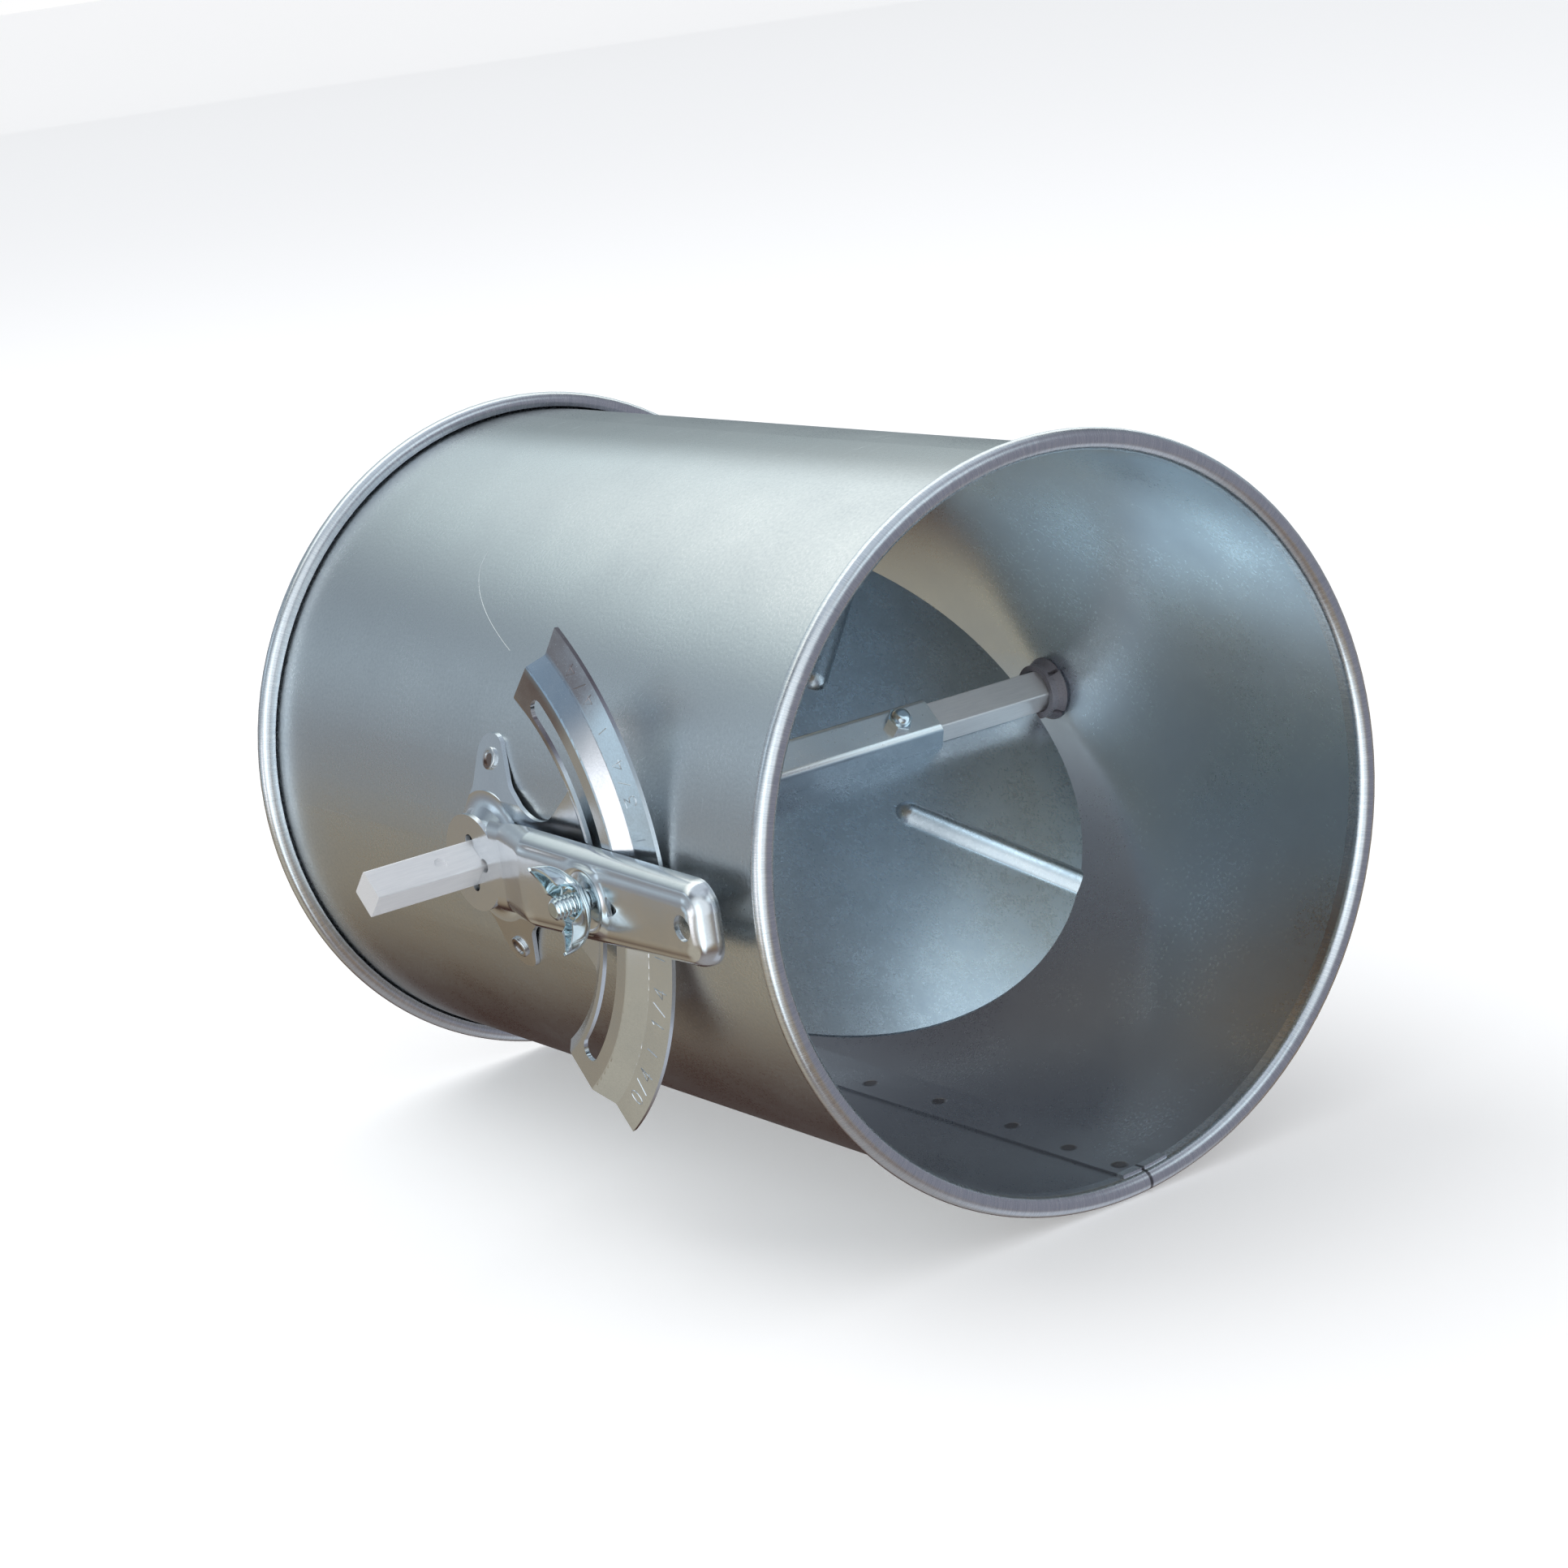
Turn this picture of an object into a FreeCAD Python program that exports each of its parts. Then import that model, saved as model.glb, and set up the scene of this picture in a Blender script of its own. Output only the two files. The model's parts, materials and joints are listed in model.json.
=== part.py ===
import FreeCAD, Part

import math
import os
import re

import Sketcher
from FreeCAD import Placement, Rotation, Vector

# A butterfly damper for round sheet-metal duct.
# The duct runs along X, the square shaft along Y with the lever on the -Y side, and Z is up.
# The origin is where the shaft crosses the duct's centre line. Sizes are in millimetres.
# A "level" is a distance out from the duct's centre line on the lever's side, so y is minus the level.

SIZES = {
    # duct, with both rims rolled outwards into a bead
    "duct_radius": 101.6,
    "duct_wall": 0.7,
    "near_bead_x": 137.3,
    "far_bead_x": 134.9,
    "bead_radius": 3.0,
    "bead_curl": 300,
    "lap_angle": 9,
    # square shaft
    "shaft_square": 9.525,
    "shaft_edge": 0.5,
    "shaft_free_end": 34.3,
    "shaft_far_stub": 5.2,
    "stake_run": 11.8,
    "stake_radius": 1.9,
    "stake_depth": 0.6,
    # bearings, snapped into the duct wall
    "shaft_running_gap": 0.05,
    "bearing_wall": 2.42,
    "bearing_flange": 2.2,
    "bearing_flange_width": 3.5,
    "bearing_hole_gap": 0.1,
    "bearing_lip": 0.9,
    "bearing_lip_gap": 0.7,
    "bearing_lip_length": 2.4,
    "bearing_ring_step": 0.5,
    "bearing_reach": 5.4,
    "bearing_slit": 1.4,
    "bearing_slit_depth": 2.9,
    "bearing_edge": 0.4,
    # blade
    "blade_angle": 46,
    "blade_gap": 0.5,
    "blade_sheet": 1,
    "blade_fold": 2,
    "blade_flat_margin": 2.6,
    "upper_rib_y": 29.8,
    "upper_rib_z": 29.8,
    "upper_rib_turn": 45,
    "lower_rib_y": 31.3,
    "lower_rib_z": 25.3,
    "lower_rib_turn": 47.8,
    "rib_width": 9.3,
    "rib_height": 3,
    # saddle over the shaft
    "saddle_sheet": 1.3,
    "saddle_overhang": 13.5,
    "saddle_leg_run": 4,
    "saddle_side_gap": 0.35,
    "saddle_inner_bend": 0.8,
    # small screws through saddle, shaft and blade
    "screw_radius": 2,
    "screw_hole_gap": 0.2,
    "screw_spacing": 77.8,
    "hex_across_flats": 7,
    "hex_turn": 13,
    "screw_head": 2.8,
    "washer_radius": 4.5,
    "washer": 0.8,
    "nut_hex_height": 2.6,
    "nut_height": 4.9,
    "nut_dome_inset": 0.25,
    "nut_dome_round": 2.2,
    "nut_crown": 1.2,
    "thread_gap": 0.05,
    # quadrant plate, with radii taken from the slot's centre line
    "plate_sheet": 1.3,
    "plate_bend": 2.4,
    "fold_half_height": 17,
    "rivet_run": 11.1,
    "ear_tip": 6.5,
    "ear_left": 7.6,
    "ear_right": 3.1,
    "ear_shoulder_radius": 6.1,
    "ear_corner_radius": 6.1,
    "ear_flare": 1.8,
    "ear_root_x": 11.6,
    "ear_root": 4.3,
    "ear_root_radius": 8,
    "notch_run": 10.6,
    "notch_z": 10.8,
    "notch_bottom_radius": 14.4,
    "notch_corner_radius": 7,
    "notch_corner_back": 6.2,
    "notch_corner_on": 10,
    "notch_corner_angle": 35,
    "web_run": 9,
    "slot_radius": 66,
    "slot_gap": 0.175,
    "slot_end_angle": 47,
    "strip_inside": 8.5,
    "step_run": 6.8,
    "face_inside": 5,
    "face_outside": 8,
    "riser_run": 7,
    "band_width": 9,
    "shelf_height": 5.9,
    "riser_drop": 2.7,
    "band_drop": 1.2,
    "plate_end_angle": 60,
    "end_inner_angle": 57.5,
    "end_crest_angle": 54.9,
    "end_riser_angle": 52.3,
    "end_tip_angle": 52.8,
    "end_round": 2,
    "dome_clearance": 4,
    "dome_slope": 6.9,
    "dome_rim": 1.5,
    "dome_foot_bend": 6,
    "dome_height": 6.8,
    "dome_hole_gap": 0.97,
    # rivets through the plate's ears
    "rivet_radius": 1.6,
    "rivet_hole_gap": 0.1,
    "rivet_head_radius": 3.3,
    "rivet_head": 0.9,
    "rivet_head_round": 0.54,
    "rivet_dish_radius": 2.2,
    "rivet_dish": 0.5,
    "rivet_tail_radius": 2.3,
    "rivet_tail": 2,
    "rivet_tail_gap": 0.5,
    # lever, a pressed channel with a flat hub
    "lever_sheet": 1.5,
    "lever_gap": 0.3,
    "hub_radius": 14.2,
    "hub_hole_gap": 0.0875,
    "hub_relief_radius": 2,
    "hub_relief_inset": 0.46,
    "channel_overlap": 4.7,
    "ramp_gap": 1.8,
    "ramp_run": 18,
    "ramp_foot_bend": 4,
    "ramp_top_bend": 6,
    "lever_rise": 4.8,
    "channel_half_width": 14.6,
    "channel_tip_half_width": 11.6,
    "lever_reach": 123,
    "tip_corner_radius": 8,
    "shoulder_radius": 6.3,
    "dish_radius": 10,
    "dish_floor_radius": 8,
    "dish_depth": 0.8,
    "window_gap": 2.2,
    "window_length": 5.7,
    "window_half_height": 3.8,
    "window_corner": 0.8,
    "tip_hole_inset": 8.3,
    "tip_hole_radius": 3.6,
    # clamp bolt and wing nut
    "clamp_radius": 3.175,
    "clamp_hole_gap": 0.125,
    "clamp_head_side_gap": 0.2,
    "clamp_head": 2.8,
    "clamp_head_half_length": 7,
    "clamp_head_edge": 1.5,
    "clamp_head_gap": 0.1,
    "clamp_neck_gap": 0.25,
    "clamp_neck_edge": 0.3,
    "clamp_neck_proud": 1.4,
    "clamp_free_end": 4.6,
    "wing_sheet": 1.6,
    "wing_half_span": 13.2,
    "wing_height": 12.2,
    "wing_lean": 1.5,
    "wing_half_width": 6,
    "wing_tip_radius": 5.9,
    "wing_bend": 4.5,
    "wing_angle": 29,
    "wing_boss_radius": 5.4,
    "wing_boss": 4.6,
    # how far a cutting tool runs past the metal
    "overrun": 1,
}

# Radii and levels that follow from the sizes above
WALL_INSIDE = "(duct_radius - duct_wall)"
SHAFT_HALF = "(shaft_square / 2)"
SHAFT_CORNER = "(shaft_square / 2 * sqrt(2) - shaft_edge * (sqrt(2) - 1))"
BORE = f"({SHAFT_CORNER} + shaft_running_gap)"
BARREL = f"({BORE} + bearing_wall)"
FLANGE = f"({BARREL} + bearing_flange_width)"
FLANGE_LEVEL = "(duct_radius + bearing_flange)"
BEARING_END = f"({WALL_INSIDE} - bearing_reach)"
BLADE_EDGE = f"({BEARING_END} - blade_gap)"
BLADE_FLAT = f"({SHAFT_HALF} + saddle_side_gap + saddle_sheet + blade_flat_margin)"
SADDLE_END = "(screw_spacing / 2 + saddle_overhang)"
DOME_FOOT = f"({FLANGE} + dome_clearance)"
DOME_EDGE = f"({DOME_FOOT} + dome_rim)"
WEB_END = f"({DOME_EDGE} + web_run)"
PLATE_LEVEL = "(duct_radius + plate_sheet)"
DOME_LEVEL = "(duct_radius + dome_height)"
SLOT_LEVEL = "(duct_radius + shelf_height)"
SLOT_HALF = "(clamp_radius + slot_gap)"
STRIP_INNER = "(slot_radius - strip_inside)"
RISER_TOP = "(slot_radius + face_outside)"
STEP_ANGLE = "atan((shelf_height - plate_sheet) / step_run)"
BAND_EDGE = f"({RISER_TOP} + riser_run + band_width)"
HUB_BACK = f"({DOME_LEVEL} + lever_gap)"
HUB_LEVEL = f"({HUB_BACK} + lever_sheet)"
WEB_LEVEL = f"({HUB_LEVEL} + lever_rise)"
HUB_SQUARE = f"(({SHAFT_HALF} + hub_hole_gap) * sqrt(2))"
NUT_DOME = "(hex_across_flats / 2 - nut_dome_inset)"
NUT_BORE = "(nut_height - nut_crown)"
RIB_ARCH = "((rib_width ^ 2 / 4 + rib_height ^ 2) / (2 * rib_height))"

doc = FreeCAD.newDocument("DuctDamper")
sizes = doc.addObject("Spreadsheet::Sheet", "Sizes")
for row, (alias, number) in enumerate(SIZES.items(), 1):
    sizes.set(f"A{row}", alias)
    sizes.set(f"B{row}", str(number))
    sizes.setAlias(f"B{row}", alias)
doc.recompute()

PLANES = {
    "XY": Rotation(),
    "XZ": Rotation(Vector(1, 0, 0), 90),
    "YZ": Rotation(Vector(1, 1, 1), 120),
}
ALONG = {
    "X": Rotation(Vector(0, 1, 0), 90),
    "Y": Rotation(Vector(1, 0, 0), -90),
    "Z": Rotation(),
}


def value(text):
    """The number that an expression of sizes gives."""
    result = sizes.evalExpression(str(text))
    return float(getattr(result, "Value", result))


def bind(thing, **properties):
    """Ties properties to expressions of sizes; a double underscore stands for a dot."""
    for name, text in properties.items():
        cells = re.sub(r"\b[a-z]\w*\b(?!\()", r"Sizes.\g<0>", str(text))
        thing.setExpression(name.replace("__", "."), cells)


def place(thing, at=("0", "0", "0"), turned=Rotation()):
    """Puts an object at a point given in sizes."""
    thing.Placement = Placement(Vector(*[value(text) for text in at]), turned)
    for axis, text in zip("xyz", at):
        bind(thing, **{f"Placement__Base__{axis}": text})
    return thing


def pin(sketch, kind, place_of, text):
    """One driving dimension of a sketch, tied to an expression of sizes."""
    number = sketch.addConstraint(Sketcher.Constraint(kind, *place_of, value(text)))
    name = f"{kind}_{number}_{sketch.GeometryCount}"
    sketch.renameConstraint(number, name)
    bind(sketch, **{f"Constraints__{name}": text})


def outline(name, plane, corners, closed=True, body=None, level="0"):
    """A sketch of straight runs through its corners, each (across, up) or (across, up, bend radius)."""
    if body:
        sketch = body.newObject("Sketcher::SketchObject", name)
        origin_plane = [part for part in body.Origin.OriginFeatures if part.Role == f"{plane}_Plane"]
        sketch.AttachmentSupport = [(origin_plane[0], "")]
        sketch.MapMode = "FlatFace"
        bind(sketch, AttachmentOffset__Base__z=level)
    else:
        sketch = doc.addObject("Sketcher::SketchObject", name)
        lift = PLANES[plane].multVec(Vector(0, 0, 1))
        place(sketch, [f"({level}) * {round(part)}" for part in lift], PLANES[plane])
    points = [Vector(value(corner[0]), value(corner[1])) for corner in corners]
    ends = points[1:] + points[:1] if closed else points[1:]
    for start, end in zip(points, ends):
        sketch.addGeometry(Part.LineSegment(start, end))
    count = len(ends)
    for line in range(count if closed else count - 1):
        sketch.addConstraint(Sketcher.Constraint("Coincident", line, 2, (line + 1) % count, 1))
    for number, corner in enumerate(corners):
        vertex = (number, 1) if number < count else (number - 1, 2)
        pin(sketch, "DistanceX", (-1, 1, *vertex), corner[0])
        pin(sketch, "DistanceY", (-1, 1, *vertex), corner[1])
    for number, corner in enumerate(corners):
        if len(corner) == 3:
            arc = sketch.GeometryCount
            sketch.fillet((number - 1) % count, 2, value(corner[2]), True, True)
            pin(sketch, "Radius", (arc,), corner[2])
    return sketch


def circle(name, plane, radius, body, at=("0", "0"), level="0"):
    """A sketch of one circle on a body's origin plane."""
    sketch = body.newObject("Sketcher::SketchObject", name)
    origin_plane = [part for part in body.Origin.OriginFeatures if part.Role == f"{plane}_Plane"]
    sketch.AttachmentSupport = [(origin_plane[0], "")]
    sketch.MapMode = "FlatFace"
    bind(sketch, AttachmentOffset__Base__z=level)
    centre = Vector(value(at[0]), value(at[1]))
    sketch.addGeometry(Part.Circle(centre, Vector(0, 0, 1), value(radius)))
    pin(sketch, "DistanceX", (-1, 1, 0, 3), at[0])
    pin(sketch, "DistanceY", (-1, 1, 0, 3), at[1])
    pin(sketch, "Radius", (0,), radius)
    return sketch


def sheet_section(name, path, thickness, left=True):
    """The section of a bent sheet, on the left of its path as the path is drawn, or on the right."""
    section = doc.addObject("Part::Offset2D", name)
    section.Source = path
    section.Mode = "Skin"
    section.Join = "Intersection"
    section.Fill = True
    section.Value = value(thickness)
    doc.recompute()
    run = path.Geometry[0]
    heading = (run.EndPoint - run.StartPoint).normalize()
    across = Vector(-heading.y, heading.x) if left else Vector(heading.y, -heading.x)
    inside = (run.StartPoint + run.EndPoint) / 2 + across * (section.Value / 2)
    probe = Part.Vertex(path.Placement.multVec(inside))
    sign = "" if section.Shape.distToShape(probe)[0] < 1e-6 else "-"
    bind(section, Value=f"{sign}({thickness})")
    return section


def extruded(name, source, forward, backward="0"):
    """A profile pushed out along its own normal, and back."""
    solid = doc.addObject("Part::Extrusion", name)
    solid.Base = source
    solid.DirMode = "Normal"
    solid.Solid = True
    bind(solid, LengthFwd=forward, LengthRev=backward)
    return solid


def revolved(name, source, axis, angle="360", symmetric=False):
    """A profile turned round an axis through the origin."""
    solid = doc.addObject("Part::Revolution", name)
    solid.Source = source
    solid.Axis = axis
    solid.Solid = True
    solid.Symmetric = symmetric
    bind(solid, Angle=angle)
    return solid


def cylinder(name, radius, length, along="Z", at=None):
    """A round bar or hole tool, put along an axis where a place is given."""
    solid = doc.addObject("Part::Cylinder", name)
    bind(solid, Radius=radius, Height=length)
    return place(solid, at, ALONG[along]) if at else solid


def fused(name, *shapes):
    """Shapes of one piece joined."""
    whole = doc.addObject("Part::MultiFuse", name)
    whole.Shapes = list(shapes)
    whole.Refine = True
    return whole


def cut(name, base, *tools):
    """The base with every tool taken out of it."""
    whole = doc.addObject("Part::Cut", name)
    whole.Base = base
    whole.Tool = tools[0] if len(tools) == 1 else fused(name + "_tools", *tools)
    whole.Refine = True
    return whole


def shared(name, *shapes):
    """What all the shapes have in common."""
    whole = doc.addObject("Part::MultiCommon", name)
    whole.Shapes = list(shapes)
    whole.Refine = True
    return whole


def pair(name, first, second):
    """Two separate solids kept as one sub-part."""
    both = doc.addObject("Part::Compound", name)
    both.Links = [first, second]
    return both


def new_body(name):
    """An empty PartDesign body."""
    return doc.addObject("PartDesign::Body", name)


def padded(body, profile, length, backwards=False):
    """A pad on a body, away from its sketch's plane."""
    pad = body.newObject("PartDesign::Pad", profile.Name + "_pad")
    pad.Profile = profile
    pad.Reversed = backwards
    bind(pad, Length=length)
    return pad


def spun(body, profile):
    """A full revolution of a sketch round its own vertical axis."""
    turn = body.newObject("PartDesign::Revolution", profile.Name + "_turn")
    turn.Profile = profile
    turn.ReferenceAxis = (profile, ["V_Axis"])
    turn.Angle = 360
    return turn


def pocketed(body, profile, length, backwards=False):
    """A pocket in a body; it has to take something away."""
    doc.recompute()
    before = body.Shape.Volume
    pocket = body.newObject("PartDesign::Pocket", profile.Name + "_pocket")
    pocket.Profile = profile
    pocket.Reversed = backwards
    bind(pocket, Length=length)
    doc.recompute()
    if body.Shape.Volume > before - 1e-6:
        raise ValueError(profile.Name + " cuts nothing")
    return pocket


def edges_rounded(name, solid, radius, chosen):
    """A solid with the edges that a test picks rounded."""
    doc.recompute()
    picked = [number for number, edge in enumerate(solid.Shape.Edges, 1) if chosen(edge)]
    rounded = doc.addObject("Part::Fillet", name)
    rounded.Base = solid
    rounded.Edges = [(number, value(radius), value(radius)) for number in picked]
    return rounded


def duct_shell():
    """Rolled sheet with a lap seam along its lowest line and a curled bead at both ends."""
    path = doc.addObject("Sketcher::SketchObject", "shell_path")
    place(path, turned=PLANES["XZ"])
    near, far, inner = value("near_bead_x"), value("-far_bead_x"), value(WALL_INSIDE)
    bead, curl = value("bead_radius"), math.radians(value("bead_curl"))
    up = Vector(0, 0, 1)
    quarter = math.pi / 2
    path.addGeometry(Part.LineSegment(Vector(far, inner), Vector(near, inner)))
    near_ring = Part.Circle(Vector(near, inner + bead), up, bead)
    far_ring = Part.Circle(Vector(far, inner + bead), up, bead)
    path.addGeometry(Part.ArcOfCircle(near_ring, -quarter, curl - quarter))
    path.addGeometry(Part.ArcOfCircle(far_ring, -quarter - curl, -quarter))
    path.addConstraint(Sketcher.Constraint("Tangent", 0, 2, 1, 1))
    path.addConstraint(Sketcher.Constraint("Tangent", 0, 1, 2, 2))
    pin(path, "DistanceX", (-1, 1, 0, 1), "-far_bead_x")
    pin(path, "DistanceX", (-1, 1, 0, 2), "near_bead_x")
    pin(path, "DistanceY", (-1, 1, 0, 1), WALL_INSIDE)
    pin(path, "DistanceY", (-1, 1, 0, 2), WALL_INSIDE)
    pin(path, "Radius", (1,), "bead_radius")
    pin(path, "Radius", (2,), "bead_radius")
    tail = f"{WALL_INSIDE} + bead_radius - bead_radius * cos(bead_curl)"
    pin(path, "DistanceY", (-1, 1, 1, 2), tail)
    pin(path, "DistanceY", (-1, 1, 2, 1), tail)
    wall = revolved("shell_wall", sheet_section("shell_section", path, "duct_wall"), (1, 0, 0))

    lap_inside = f"-({WALL_INSIDE} - duct_wall)"
    lap_outside = "-(duct_radius - duct_wall / 2)"
    lap_corners = [
        ("-far_bead_x", lap_outside),
        ("near_bead_x", lap_outside),
        ("near_bead_x", lap_inside),
        ("-far_bead_x", lap_inside),
    ]
    lap = revolved("lap_seam", outline("lap_section", "XZ", lap_corners), (1, 0, 0), "lap_angle")

    bearing_hole = cylinder("bearing_holes", f"{BARREL} + bearing_hole_gap",
                            "4 * duct_radius", "Y", ("0", "-2 * duct_radius", "0"))
    shell = cut("duct_shell", fused("rolled_sheet", wall, lap), bearing_hole, *rivet_holes("wall"))
    return shell


def ear_angle():
    """How far each ear leans back to lie tangent on the duct."""
    return "(2 * atan(fold_half_height / duct_radius))"


def rivet_place(side):
    """Where a rivet's axis meets the duct side of its ear."""
    level = f"(duct_radius - rivet_run * sin({ear_angle()}))"
    height = f"(fold_half_height + rivet_run * cos({ear_angle()}))"
    return ("0", f"-{level}", f"{side} * {height}")


def rivet_turn(side):
    """Turns a piece made along -Y square to its ear."""
    return Rotation(Vector(1, 0, 0), -side * value(ear_angle()))


def rivet_holes(name):
    """A hole tool through each ear and the wall behind it."""
    holes = []
    for side, word in ((1, "upper"), (-1, "lower")):
        hole = cylinder(f"{word}_rivet_hole_{name}", "rivet_radius + rivet_hole_gap", "8 * plate_sheet")
        middle = Placement(Vector(0, value("-4 * plate_sheet"), 0), ALONG["Y"])
        spot = Vector(*[value(text) for text in rivet_place(side)])
        hole.Placement = Placement(spot, rivet_turn(side)).multiply(middle)
        holes.append(hole)
    return holes


def quadrant_rivets():
    """Two closed-end rivets with a dished head outside and a set tail inside the duct."""
    shank_end = "duct_wall + rivet_tail_gap"
    corners = [
        ("0", "-plate_sheet - rivet_head + rivet_dish"),
        ("rivet_dish_radius", "-plate_sheet - rivet_head + rivet_dish"),
        ("rivet_dish_radius", "-plate_sheet - rivet_head"),
        ("rivet_head_radius", "-plate_sheet - rivet_head", "rivet_head_round"),
        ("rivet_head_radius", "-plate_sheet"),
        ("rivet_radius", "-plate_sheet"),
        ("rivet_radius", shank_end),
        ("rivet_tail_radius", shank_end),
        ("rivet_tail_radius", f"{shank_end} + rivet_tail", "rivet_radius"),
        ("0", f"{shank_end} + rivet_tail"),
    ]
    rivets = []
    for side, word in ((1, "upper"), (-1, "lower")):
        rivet = revolved(f"{word}_rivet", outline(f"{word}_rivet_section", "XY", corners), (0, 1, 0))
        spot = Vector(*[value(text) for text in rivet_place(side)])
        rivet.Placement = Placement(spot, rivet_turn(side))
        rivets.append(rivet)
    return pair("quadrant_rivets", *rivets)


def quadrant_plan():
    """The blank's outline seen along the shaft, as a thick prism: ears, web and arc strip."""
    reach = "fold_half_height + (rivet_run + ear_tip)"
    tip = f"({reach} * cos({ear_angle()}) + fold_half_height * (1 - cos({ear_angle()})))"
    along = "cos(notch_corner_angle)"
    across = "sin(notch_corner_angle)"
    half = [
        (f"-{DOME_EDGE} * cos(45)", f"{DOME_EDGE} * sin(45)"),
        ("-ear_left", "fold_half_height + ear_flare", "ear_shoulder_radius"),
        ("-ear_left", tip, "ear_shoulder_radius"),
        ("ear_right", tip, "ear_corner_radius"),
        ("ear_root_x", "fold_half_height + ear_root", "ear_root_radius"),
        (f"{DOME_EDGE} + notch_run", "notch_z", "notch_bottom_radius"),
        (f"{STRIP_INNER} * {along} + notch_corner_back * {across}",
         f"{STRIP_INNER} * {across} - notch_corner_back * {along}", "notch_corner_radius"),
        (f"{STRIP_INNER} * {along} - notch_corner_on * {across}",
         f"{STRIP_INNER} * {across} + notch_corner_on * {along}"),
        (f"{RISER_TOP} * {along}", f"{RISER_TOP} * {across}"),
    ]
    mirrored = [(corner[0], f"-({corner[1]})", *corner[2:]) for corner in reversed(half)]
    depth = f"{SLOT_LEVEL} + 2 * plate_sheet"
    web = extruded("plan_web", outline("plan_web_outline", "XZ", half + mirrored), depth)
    dome = cylinder("plan_dome", DOME_EDGE, depth, "Y", ("0", f"-({depth})", "0"))
    ring = cut("plan_ring", cylinder("plan_band", BAND_EDGE, depth, "Y", ("0", f"-({depth})", "0")),
               cylinder("plan_inside", STRIP_INNER, depth, "Y", ("0", f"-({depth})", "0")))
    return fused("plan", web, dome, shared("plan_strip", ring, strip_ends(depth)))


def strip_ends(depth):
    """The sector that the arc strip fills, with ends that step in at the crest and out again on the band."""
    steps = (
        (STRIP_INNER, "end_inner_angle"),
        (RISER_TOP, "end_crest_angle", "end_round"),
        (f"({RISER_TOP} + riser_run)", "end_riser_angle", "end_round"),
        (BAND_EDGE, "end_tip_angle"),
    )
    half = [(f"{step[0]} * cos({step[1]})", f"{step[0]} * sin({step[1]})", *step[2:]) for step in steps]
    half.append((f"2 * {BAND_EDGE}", BAND_EDGE))
    mirrored = [(corner[0], f"-({corner[1]})", *corner[2:]) for corner in reversed(half)]
    return extruded("strip_ends", outline("strip_ends_outline", "XZ", [("0", "0")] + half + mirrored), depth)


def arc_slot():
    """The curved slot that the clamp bolt rides in, with round ends."""
    depth = "2 * plate_sheet"
    floor = f"-({SLOT_LEVEL} + plate_sheet / 2)"
    sector = doc.addObject("Part::Cylinder", "slot_sector")
    bind(sector, Radius=f"slot_radius + {SLOT_HALF}", Height=depth, Angle="2 * slot_end_angle")
    start = Rotation(Vector(0, 0, 1), -value("slot_end_angle"))
    place(sector, ("0", floor, "0"), ALONG["Y"].multiply(start))
    inside = cylinder("slot_inside", f"slot_radius - {SLOT_HALF}", depth, "Y", ("0", floor, "0"))
    ends = []
    for side, word in ((1, "upper"), (-1, "lower")):
        at = ("slot_radius * cos(slot_end_angle)", floor, f"{side} * slot_radius * sin(slot_end_angle)")
        ends.append(cylinder(f"{word}_slot_end", SLOT_HALF, depth, "Y", at))
    return fused("arc_slot", cut("slot_ring", sector, inside), *ends)


def quadrant_plate():
    """One pressed plate: ears bent back onto the duct, a dome round the shaft, and a raised arc shelf."""
    angle = ear_angle()
    run = "(rivet_run + ear_tip + plate_sheet)"
    upper = [("-duct_radius", "fold_half_height"),
             (f"-duct_radius + {run} * sin({angle})", f"fold_half_height + {run} * cos({angle})")]
    lower = [(corner[0], f"-({corner[1]})") for corner in reversed(upper)]
    strip_path = outline("strip_path", "YZ", lower + upper, closed=False)
    strip = extruded("bent_strip", sheet_section("strip_section", strip_path, "plate_sheet"),
                     f"{WEB_END} + plate_sheet", DOME_EDGE)

    dome_path = outline("dome_path", "XY", [
        (f"{SHAFT_CORNER} + dome_hole_gap", f"-{DOME_LEVEL}"),
        (f"{DOME_FOOT} - dome_slope", f"-{DOME_LEVEL}", "2 * plate_bend"),
        (DOME_FOOT, f"-{PLATE_LEVEL}", "dome_foot_bend"),
        (f"{DOME_EDGE} + plate_sheet", f"-{PLATE_LEVEL}"),
    ], closed=False)
    dome = revolved("dome", sheet_section("dome_section", dome_path, "plate_sheet"), (0, 1, 0))
    under_dome = cylinder("under_dome", f"{DOME_EDGE} + plate_sheet / 2", "4 * plate_sheet", "Y",
                          ("0", f"-{PLATE_LEVEL} - plate_sheet", "0"))

    shelf_path = outline("shelf_path", "XY", [
        (WEB_END, f"-{PLATE_LEVEL}"),
        ("slot_radius - face_inside - step_run", f"-{PLATE_LEVEL}", "2 * plate_bend"),
        ("slot_radius - face_inside", f"-{SLOT_LEVEL}", "plate_bend"),
        (RISER_TOP, f"-{SLOT_LEVEL}", "plate_bend"),
        (f"{RISER_TOP} + riser_run", f"riser_drop - {SLOT_LEVEL}", "plate_bend"),
        (BAND_EDGE, f"riser_drop + band_drop - {SLOT_LEVEL}"),
    ], closed=False)
    shelf = revolved("shelf", sheet_section("shelf_section", shelf_path, "plate_sheet"), (0, 1, 0),
                     "2 * plate_end_angle", symmetric=True)

    pressed = fused("pressed_sheet", cut("strip_with_hole", strip, under_dome), dome, shelf)
    trimmed = shared("trimmed_plate", pressed, quadrant_plan())
    return cut("quadrant_plate", trimmed, arc_slot(), *rivet_holes("ear"))


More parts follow.
